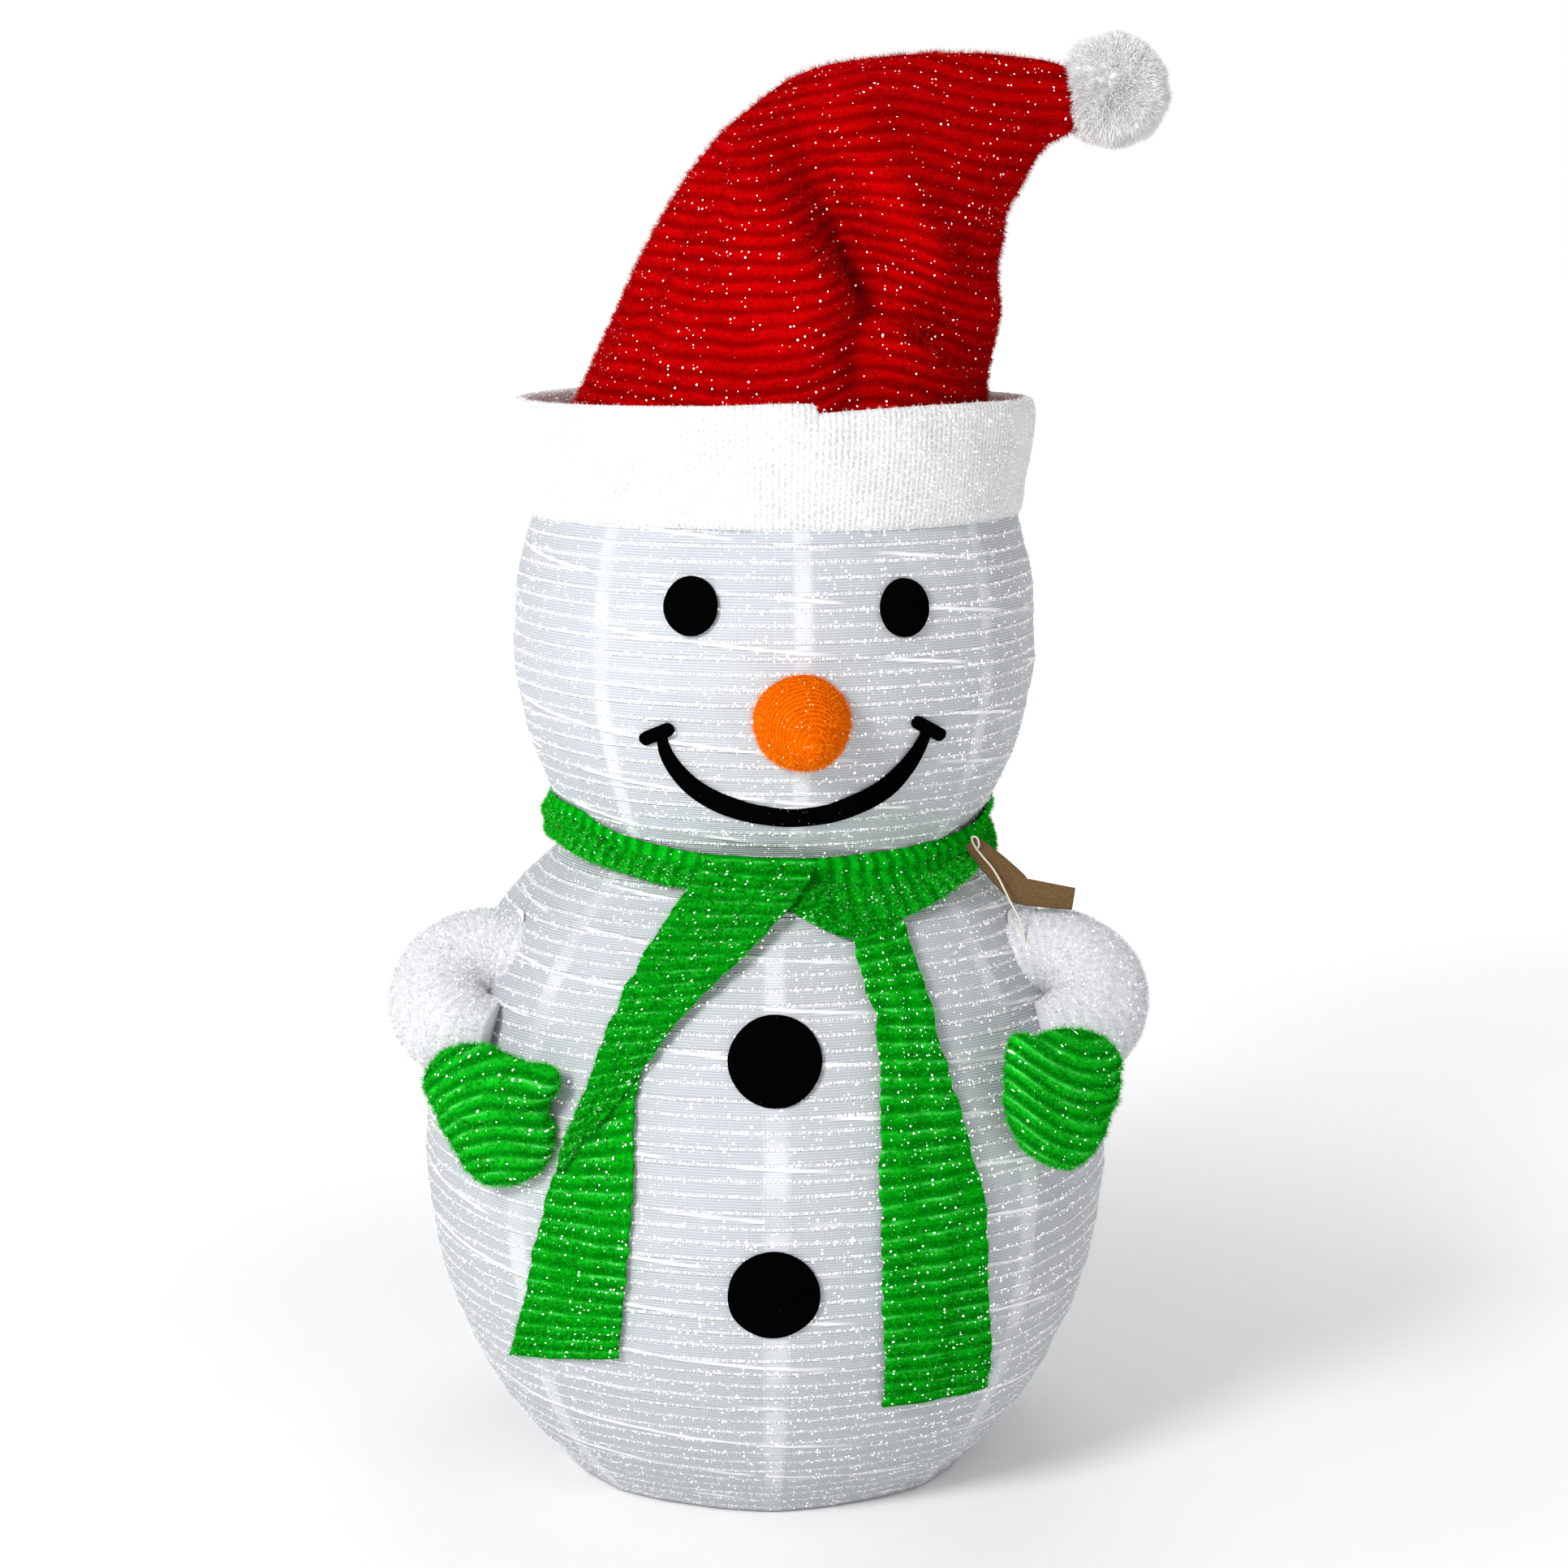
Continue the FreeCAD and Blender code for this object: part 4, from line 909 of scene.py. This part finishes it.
def wrap(name, tops, lows, base, bulge, first, last, strands, seed, flat_width, material):
    """A round of the scarf about the neck between two azimuths, hung on the neck's widening."""
    full = last - first >= 360
    az = np.linspace(first, last, int((last - first) * 1.15), endpoint=not full)[None]
    a = np.radians(az)
    x = np.linspace(0, 1, 24)[:, None]
    top, low = (smooth_curve(*np.array(line).T)(az) * MM for line in (tops, lows))
    z = low + (top - low) * x
    r = np.maximum(hug(z) + 0.0035, 0.1700 - 0.006 * x ** 3) + base * (1 - 0.8 * x ** 4)
    r = r + bulge * np.sin(math.pi * (0.08 + 0.90 * x)) ** 0.8
    r = r + 0.0012 * np.sin(a * 7 + seed) + 0.0009 * np.sin(a * 13 + 2 * seed)
    r = r + 0.0014 * np.sin(2 * math.pi * (x * 1.6 + 0.13 * np.sin(a * 3 + seed)))
    if not full:
        r = r - 0.006 * (1 - np.clip(np.minimum(az - first, last - az) / 8.0, 0, 1))
    points = around(az, r, z)
    cloth = Cloth(points, table(x * flat_width, np.radians(az - first) * SOFT_RING), wrap=full)
    width = 0.004 + 1.05 * path_length(points[:, az.size // 3])[-1]
    run = math.radians(last - first) * SOFT_RING
    return scarf_piece(name, cloth, material, strands, 0.0045, seed, 0.5, width, run,
                       held="gathered", rests_on=["neck_band_cloth"])


def moved(line, by, right=0):
    return [(a, z + by + right * (a > -70)) for a, z in line]


wrap("scarf_round_inner", moved(TOPS, 2), moved(LOWS, 2), 0.0, 0.006, -180, 180, 9000, 31, 0.05, green_flat)
wrap("scarf_round_left", moved(TOPS, -4, -4), moved(LOWS, -1), 0.004, 0.010, -172, -6, 16000, 32, 0.085, green)
wrap("scarf_round_right", FOLD_TOP, FOLD_LOW, 0.004, 0.009, 6, 172, 15000, 33, 0.085, green)


# ---------------------------------------------------------------- arms and mittens

ARM_ROW = 0.0075
arm_cloth = pile_cloth("white_tinsel_knit", (0.60, 0.61, 0.63), (0.70, 0.71, 0.73), (0.80, 0.81, 0.82),
                       period=ARM_ROW, light=0.3, spark=0.16, wander=0.002, cell=0.0030, streak=0.25, depth=0.0002)
arm_pile = strand_mat("white_arm_strands", (0.76, 0.77, 0.79), 0.25)


def arm(name, side):
    shoulder = np.array([side * 0.205, -0.078, 0.434])
    wrist = np.array([side * 0.233, -0.150, 0.372])
    along = (shoulder - wrist) / np.linalg.norm(shoulder - wrist)
    away = np.array([side, 0.0, 0.0])
    away = away - along * away.dot(along)
    away /= np.linalg.norm(away)
    theta = np.linspace(math.pi / 2, -math.pi / 2, 60)[:, None]
    arc = (shoulder + wrist) / 2 + 0.0402 * (np.cos(theta) * away + np.sin(theta) * along)
    line = np.concatenate([arc[0] - away * np.linspace(0.030, 0.002, 14)[:, None], arc,
                           arc[-1] - away * np.linspace(0.003, 0.016, 6)[:, None]])
    s = path_length(line)
    t = s / s[-1]
    radius = 0.0372 + 0.0010 * np.sin(math.pi * t) - 0.004 * np.clip(1 - t / 0.25, 0, 1)
    radius = radius - 0.007 * np.clip((t - 0.80) / 0.20, 0, 1) ** 1.5
    t = t[:, None]
    a = np.linspace(0, 2 * math.pi, 72, endpoint=False)
    rng = np.random.default_rng(5 if side < 0 else 6)
    dents = 0.010 * sum(rng.uniform(0.2, 1.0) * np.sin(k * a + rng.uniform(0, 6) + t * rng.uniform(-14, 14))
                        for k in (2, 3, 5))
    points = line[:, None] + (tube_points(line, radius, 72) - line[:, None]) * (1 + dents)[:, :, None]
    # the root stops just under the body's cloth
    off = lean(points[..., 2])
    under = (body_r(points[..., 2]) - 0.0036) / np.hypot(points[..., 0] - off, points[..., 1])
    grow = np.where(t < 0.5, np.maximum(under, 1.0), 1.0)
    points[..., 0] = off + (points[..., 0] - off) * grow
    points[..., 1] *= grow
    cloth = Cloth(points, table(a * 0.036, s[:, None]), wrap=True)
    cloth.pile(26000, 0.0034, 0.00045, 41 + side, spread=1.2, row=ARM_ROW, keep=4.0,
               side=outward(cloth, 40, points[40, 0] - line[40]))
    obj = cloth.build("arm_%s_tube" % name, [arm_cloth, arm_pile], closed_ends=True)
    stands_for(obj, "arm_%s_sleeve" % name, "arm_%s_fill" % name, body="arm_" + name, finish="white_tinsel")
    # the patch that is sewn round its root
    spin = np.linspace(0, 2 * math.pi, 72)[:, None, None]
    reach = 0.0345 + 0.004 * np.linspace(0, 1, 5)[:, None]
    place = arc[0] + reach * (np.cos(spin) * np.cross(away, along) + np.sin(spin) * along)
    azimuths = np.degrees(np.arctan2(place[..., 0], -place[..., 1]))
    ring = on_surface(body_r, azimuths, place[..., 2], 0.0014)
    patch = one_mesh("arm_%s_patch_ring" % name, [ring], white_weave, wrap=False)
    stands_for(patch, "arm_%s_patch" % name, body="shoulder_" + name)


arm("left", -1)
arm("right", 1)

MITTEN_ROW = 0.0125
mitten_cloth = pile_cloth("green_mitten_cloth", (0.0, 0.13, 0.002), (0.004, 0.47, 0.012), (0.12, 0.82, 0.16),
                          period=MITTEN_ROW, light=0.7, spark=0.12, wander=0.003, depth=0.0010)


def mitten(name, side, outline, centre, facing, tilt=0.06, deep=0.0215):
    """A stuffed mitten from its outline, seen face on: (degrees, reach in mm) pairs."""
    out, right = flat_way(facing)
    up = np.array(UP) * math.cos(tilt) + out * math.sin(tilt)
    out = np.cross(right, up)
    deg, reach = np.array(outline, float).T
    deg = np.concatenate([deg - 360, deg, deg + 360])
    turn = np.linspace(0, 360, 96, endpoint=False)
    a = np.radians(turn)
    edge = smooth_curve(deg, np.tile(reach, 3) * MM)(turn)
    q = np.linspace(0.02, math.pi - 0.02, 44)[:, None]
    rho, high = np.sin(q), np.cos(q)
    px = rho * edge * np.cos(a) / math.cos(math.radians(facing))
    py = rho * edge * np.sin(a)
    swell = deep * np.sign(high) * np.abs(high) ** 0.85
    depth = swell * np.clip(edge / edge.mean(), 0.6, 1.1) ** 0.5 * (1.0 + 0.10 * np.sin(py * 210 + px * 60))
    depth = depth + 0.0010 * np.sin(a * 15) * rho ** 6
    points = centre + px[..., None] * right + py[..., None] * up + depth[..., None] * out
    v = py - 6.0 * side * px * px + 0.35 * side * px
    cloth = Cloth(points, table(px, v + 0.2), wrap=True)
    cloth.pile(13000, 0.0050, 0.00050, 51 + side, row=MITTEN_ROW, keep=0.5, side=outward(cloth, 8, out))
    obj = cloth.build("mitten_%s_padded" % name, [mitten_cloth, green_pile], closed_ends=True)
    return stands_for(obj, "mitten_" + name, body="arm_" + name, finish="green_tinsel")


LEFT = [(7.9, 44.5), (22, 49), (29.6, 61), (38.8, 67.5), (47.7, 63), (58, 55), (69.4, 52),
        (96, 56.2), (128.7, 58.3), (152.6, 56.0), (176, 44), (197, 39.5), (215, 39), (235, 43.5),
        (251.6, 49), (267, 53.5), (290, 53), (305, 52.5), (320, 51.7), (349.4, 48.5)]
RIGHT = [(4, 43.2), (30, 48.4), (52.4, 49.8), (79.5, 50), (100.2, 51.2), (113, 51), (118, 54), (126.8, 65.0),
         (142.6, 55), (168.4, 45.2), (200.5, 43.4), (230, 47.4), (257, 54.2), (278.7, 60.0), (296.6, 54.3),
         (329.7, 42.8)]
mitten("left", -1, LEFT, np.array([-0.2107, -0.2105, 0.3325]), -28)
mitten("right", 1, RIGHT, np.array([0.2238, -0.2105, 0.3506]), 30)


# ---------------------------------------------------------------- hat

red = pile_cloth("red_tinsel_cloth", (0.19, 0.0, 0.0), (0.43, 0.0005, 0.001), (0.56, 0.002, 0.003), period=ROW,
                 light=0.4, spark=0.17, wander=0.0085, cell=0.0028, streak=0.9, depth=0.0008, solid=True)
red_pile = strand_mat("red_tinsel_strands", (0.42, 0.001, 0.002), 0.5)
# rings of the hat from its hem to its tip: centre x, height and radius in mm, tilt in degrees
SECTIONS = np.array([(3.0, 790, 190, 0), (4.6, 815, 182, 0), (7.8, 857, 167.5, 0), (16.5, 890, 158.5, 2),
                     (26.3, 917, 152, 4.6), (40.5, 957, 141.5, 9.5), (57, 1000, 127, 15.6), (79, 1034, 114.5, 22.5),
                     (105, 1064, 99, 31.7), (137, 1081, 80, 37), (171.6, 1094.5, 57, 46), (203, 1100, 38.5, 62),
                     (234, 1101, 25, 80), (246, 1102, 13, 84)], float)
# folds down its front: a line of (x, z) places, how deep and how wide, all in mm
VALLEYS = [([(16, 1108), (26, 1061), (42, 1029), (62, 991), (77, 953), (74, 916), (76, 870)], 36, 21),
           ([(56, 1010), (78, 981), (102, 948), (135, 921), (169, 899), (185, 890)], 29, 16),
           ([(-60, 1020), (-75, 985), (-90, 940), (-100, 900)], 10, 10),
           ([(-30, 1045), (-45, 1000), (-60, 955)], 9, 10),
           ([(150, 1010), (145, 970), (150, 925)], 5, 16)]


def fold_depth(points):
    """How far the folds draw the cloth in; their banks swell out a little."""
    push = np.zeros(points.shape[:2])
    for line, deep, wide in VALLEYS:
        line, deep, wide = np.array(line) * MM, deep * MM, wide * MM
        steps = path_length(line)
        lx, lz = (smooth_curve(steps, line[:, k])(np.linspace(0, steps[-1], 60)) for k in (0, 1))
        gap = np.hypot(points[..., 0:1] - lx, points[..., 2:3] - lz)
        d = gap.min(-1)
        fade = np.sin(math.pi * np.clip(gap.argmin(-1) / 59.0, 0.04, 0.97)) ** 0.6
        push += -deep * np.exp(-(d / wide) ** 2) * fade
        push += 0.30 * deep * np.exp(-((d - 2.2 * wide) / (1.1 * wide)) ** 2) * fade
    return push


def hat():
    rows, cols = ((190, 240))
    middle = cols // 2  # the front; the grid closes at the back
    s = path_length(np.stack([SECTIONS[:, 0], SECTIONS[:, 1] + (199 - SECTIONS[:, 2]) * 0.3], 1))
    t = np.linspace(0, s[-1], rows)[:, None]
    x, z, r, tilt = (smooth_curve(s, SECTIONS[:, k])(t) for k in range(4))
    tilt = np.radians(tilt)
    a = np.linspace(0, 2 * math.pi, cols, endpoint=False)[None]
    px = -np.sin(a) * r
    points = table(x + px * np.cos(tilt), np.cos(a) * r, z - px * np.sin(tilt)) * MM
    normal = Cloth(points, np.zeros(points.shape[:2] + (2,)), wrap=True).normals()
    normal *= np.sign(-normal[10, middle, 1])
    front = np.clip(-points[..., 1] / 0.06, -0.35, 1)
    push = fold_depth(points)
    rng = np.random.default_rng(9)
    soft = 0.0011 * sum(rng.uniform(0.3, 1.0) * np.sin(k * a + rng.uniform(0, 6) + t * rng.uniform(-0.02, 0.02))
                        for k in (2, 3, 4, 6, 9))
    px, pz = points[..., 0], points[..., 2]
    creases = 0.0030 * np.sin((px * 0.8 - pz * 0.55) * 190) * np.exp(-((px + 0.085 - (pz - 0.95) * 0.55) / 0.04) ** 2)
    keep = np.clip((z - 815) / 60, 0, 1) * np.clip((t[-1] - t) / 30.0, 0, 1)
    moves = ((push + creases) * np.where(front > 0, front, front * 0.6) + soft) * keep
    points = points + normal * moves[..., None]
    px = points[..., 0]
    height = points[..., 2] + 0.10 * px * np.clip(-px / 0.1, 0, 1) - 0.018 * np.exp(-((px - 0.09) / 0.06) ** 2)
    height = height + 0.25 * push * np.clip(front, 0, 1)
    cloth = Cloth(points, table((a - math.pi) * (r * MM).clip(0.06), height), wrap=True)
    flip = np.sign(-cloth.normals()[10, middle, 1])
    cloth.pile(80000, 0.0052, 0.00048, 61, spread=1.15, keep=0.70, side=flip, droop=0.1)
    obj = cloth.build("hat_cloth", [red, red_pile], thick=0.0020, offset=-flip, apart=True)
    stands_for(obj, "hat_cone", body="hat", finish="red_tinsel")
    sheet(obj, flat=(1.25, 0.47), held="stretched", rests_on=["pole_cap"], area=0.38)


hat()

RIB = 0.0046  # between the knit's ribs
knit = Mat("white_knit_cuff", rough=0.9, sheen_weight=0.35)
ku, kv = knit.uv()
loop = knit.noise(knit.xyz(ku, kv * 0.9), 420.0, 3.0, 0.65)
cloud = knit.noise(knit.xyz(ku, kv), 22.0)
tone = knit.wave(ku, RIB) * 0.20 + loop * 0.95 + (cloud - 0.5) * 0.4
cuff_colour = knit.mix(knit.step(tone, 0.15, 0.75), (0.42, 0.425, 0.44), (0.81, 0.81, 0.805))
# painted glints: white flakes with a painted glow over the knit
knit.paint_glints(knit.sparkle(knit.xyz(ku, kv), 0.0028, 0.34, 0.22), cuff_colour, WHITE, 0.5)
knit.bump(tone, 0.0020)
# the turned-up cuff cut through: (radius, height) in mm, round from its lower lip
LIP = np.array([(192.5, 776), (196.5, 778.5), (198.5, 788), (200.5, 805), (203.5, 825), (206, 845), (207, 858),
                (206.2, 865.5), (203, 869), (199.5, 866.5), (198, 857), (197, 840), (195, 815), (192.5, 790),
                (190.5, 781), (192.5, 776)]) * MM
CUFF_SEAM = 8.2  # degrees


def cuff():
    s = path_length(LIP)
    fine = np.linspace(0, s[-1], 64)[:, None]
    r, z = smooth_curve(s, LIP[:, 0])(fine), smooth_curve(s, LIP[:, 1])(fine)
    deg = np.linspace(-180, 180, 360, endpoint=False)
    a = np.radians(deg)
    high = np.clip((z - 0.79) / 0.08, 0, 1) ** 2
    past = deg - CUFF_SEAM
    drop = np.where(past > 0, 0.0065 * np.exp(-past / 26.0), -0.0015 * np.exp(-((past + 6) / 9.0) ** 2))
    wave = 0.0016 * np.sin(3 * a + 1.0) + 0.0010 * np.sin(7 * a) + 0.0006 * np.sin(19 * a)
    rr = r + (wave - 0.0016 * np.exp(-(past / 1.6) ** 2)) * high + 0.0010 * np.sin(5 * a + z * 60)
    zz = z + (0.0015 * np.sin(2 * a + 0.5) - drop) * high - 0.0010 * np.sin(4 * a) * (1 - high)
    cloth = Cloth(table(rr * np.sin(a) + 0.0055, -rr * np.cos(a), zz), table(a * 0.202, fine), wrap=True)
    cloth.pile(34000, 0.0030, 0.00045, 71, spread=1.3, row=RIB, keep=1.0)
    obj = cloth.build("hat_cuff_knit", [knit.m, white_pile])
    stands_for(obj, "hat_cuff", body="hat", finish="white_knit")


cuff()

fur_mat = strand_mat("white_fur_strands", (0.85, 0.85, 0.855), 0.03, 0.6)
fur_base = plain("white_fur_base", (0.78, 0.78, 0.785), (0.89, 0.89, 0.89), 120, 0.95)
# painted glow: the pom-pom's strands and base glow a little white, though they are no lamp
for painted_glow_mat in (fur_mat, fur_base):
    shader = painted_glow_mat.node_tree.nodes["Principled BSDF"]
    shader.inputs["Emission Color"].default_value = (1, 1, 1, 1)
    shader.inputs["Emission Strength"].default_value = 0.02


def unit(vectors):
    return vectors / np.linalg.norm(vectors, axis=1, keepdims=True)


def pompom():
    centre = np.array([0.2700, 0.0, 1.1065])
    rng = np.random.default_rng(81)
    q = np.linspace(0.02, math.pi - 0.02, 56)[:, None]
    a = np.linspace(0, 2 * math.pi, 88, endpoint=False)[None]
    way = table(np.sin(q) * np.cos(a), np.sin(q) * np.sin(a), np.cos(q))
    lump = 0.03 * np.sin(3 * a + 2 * q) + 0.02 * np.sin(5 * a - 4 * q)
    lump = lump + 0.022 * np.sin(11 * a + 6 * q) * np.sin(13 * q - 2 * a)
    cloth = Cloth(centre + way * (0.0388 * (1 + lump * np.sin(q)))[..., None], table(a * 0.03, q * 0.03), wrap=True)
    count = 34000
    d = unit(rng.normal(0, 1, (count, 3)))
    clump = unit(rng.normal(0, 1, (170, 3)))
    near = clump[(d @ clump.T).argmax(1)]
    size = 1 + 0.045 * np.sin(near[:, 0] * 9 + near[:, 2] * 7) * np.cos(near[:, 1] * 8)
    root = centre + d * 0.036
    bend = unit(near * 0.45 + d * 0.70 + rng.normal(0, 0.14, (count, 3)) + np.array([0, 0, -0.06]))
    end = centre + (d * 0.52 + bend * 0.48) * (0.0462 * size * rng.uniform(0.95, 1.02, count))[:, None]
    side = unit(np.cross(end - root, rng.normal(0, 1, (count, 3))))
    mid = root * 0.45 + end * 0.55
    cloth.extra.append(np.stack([root - side * 0.0005, root + side * 0.0005, mid + side * 0.0003], 1).reshape(-1, 3))
    cloth.extra.append(np.stack([mid - side * 0.0004, mid + side * 0.0004, end], 1).reshape(-1, 3))
    obj = cloth.build("hat_pompom_fur", [fur_base, fur_mat], closed_ends=True)
    stands_for(obj, "hat_pompom", body="hat", finish="white_fur")


pompom()


# ---------------------------------------------------------------- tag

kraft = Mat("kraft_card", rough=0.85)
fibre = kraft.noise(kraft.stretched((1.0, 1.0, 3.0)), 420.0, 5.0, 0.7)
speck = kraft.noise(kraft.objxyz(), 1400.0, 1.0)
card_colour = kraft.mix(kraft.step(fibre, 0.3, 0.7), (0.085, 0.045, 0.012), (0.155, 0.085, 0.026))
kraft.colour(kraft.mix(kraft.step(speck, 0.66, 0.72), card_colour, (0.05, 0.026, 0.010)))
kraft.bump(fibre, 0.0002)


def tag():
    """A card strip with a bend in it, seen nearly face on, and a punched hole for the twine."""
    start = np.array([0.1585, 0.5245])
    first, second = (np.array([math.cos(fall), -math.sin(fall)]) for fall in np.radians([45, 8]))
    corner = start + first * 0.0560
    last = start + first * 0.050
    line = np.concatenate([start + first * np.linspace(0, 0.050, 24)[:, None],
                           [corner * 0.9 + last * 0.05 + (corner + second * 0.005) * 0.05],
                           corner + second * np.linspace(0.005, 0.042, 24)[:, None]])
    s = path_length(line)[:, None]
    way = unit(np.gradient(line, axis=0))
    across = np.stack([-way[:, 1], way[:, 0]], 1)
    w = np.linspace(-1, 1, 13)
    half = smooth_curve([0, 0.004, 0.05, 0.06, 0.10], [0.0055, 0.0072, 0.0112, 0.0108, 0.0088])(s)
    flat = line[:, None] + across[:, None] * (w * half)[..., None]
    curl = 0.0012 * np.sin(s * 60) + 0.0016 * w ** 2 - 0.0018 * np.clip((s - 0.05) / 0.05, 0, 1)
    cloth = Cloth(table(flat[..., 0], curl - 0.0990, flat[..., 1]), table(s, w * 0.0095))
    obj = cloth.build("hang_tag_card", [kraft.m], thick=0.0005, offset=0.0)
    turns = [k * math.pi / 10 for k in range(20)]
    ring = [(0.163 + 0.0022 * math.cos(t), y, 0.5185 + 0.0022 * math.sin(t)) for y in (-0.110, -0.088) for t in turns]
    sides = [(k, (k + 1) % 20, 20 + (k + 1) % 20, 20 + k) for k in range(20)]
    cutter = mesh_piece("cutter", ring, sides + [tuple(range(19, -1, -1)), tuple(range(20, 40))], [], smooth=False)
    hole = obj.modifiers.new("hole", "BOOLEAN")
    hole.operation = "DIFFERENCE"
    hole.solver = "EXACT"
    hole.object = cutter
    apply_modifiers(obj)
    bpy.data.objects.remove(cutter)
    stands_for(obj, "hang_tag", body="tag", finish="kraft")


tag()


# ---------------------------------------------------------------- CAD nodes that stay

FINISH = {
    "steel_flat": plain("black_powder_coat", (0.012, 0.012, 0.013), (0.03, 0.03, 0.032), 900, 0.5, bump=0.0002),
    "pole_tube": plain("white_powder_coat", (0.72, 0.72, 0.72), (0.84, 0.84, 0.84), 800, 0.4, bump=0.0001),
    "zinc": plain("zinc_plate", (0.42, 0.42, 0.45), (0.62, 0.62, 0.64), 500, 0.32, metal=1.0, stretch=(1, 1, 6)),
    "rubber": plain("black_rubber", (0.010, 0.010, 0.010), (0.03, 0.03, 0.03), 600, 0.75, bump=0.0003),
    "white_plastic": plain("moulded_plastic", (0.74, 0.74, 0.74), (0.86, 0.86, 0.86), 300, 0.45),
}
slots = {s["node"]: s["material_slot"] for s in frame["record"]["subparts"]}
for node, obj in frame["nodes"].items():
    finish = FINISH.get(slots.get(node), white_wire)
    if not obj.material_slots:
        obj.data.materials.append(finish)
    for spot in obj.material_slots:
        spot.material = finish


# ---------------------------------------------------------------- floor

def floor():
    m = Mat("pale_floor", rough=0.9, specular_ior_level=0.1, emission_strength=1.0)
    m.colour(m.mix(m.noise(m.objxyz(), 3.0, 3.0), (0.84, 0.84, 0.84), (0.88, 0.88, 0.88)))
    x, y, _ = m.split(m.objxyz())
    # the floor glows as painted light: least near the snowman, so its shadow stays dark there, and more far off, so
    # the far floor turns white
    far = m.math("SQRT", x * x + y * y)
    glow = m.step(far, 0.25, 1.5, 0.10, 0.40) + m.step(far, 1.2, 5.0, 0.0, 0.5)
    m.put(m.b.inputs["Emission Color"], m.xyz(glow, glow, glow))
    corners = [(x, y, -0.0005) for x, y in ((-60, -20), (60, -20), (60, 120), (-60, 120))]
    mesh_piece("floor", corners, [(0, 1, 2, 3)], [m.m], smooth=False)


floor()
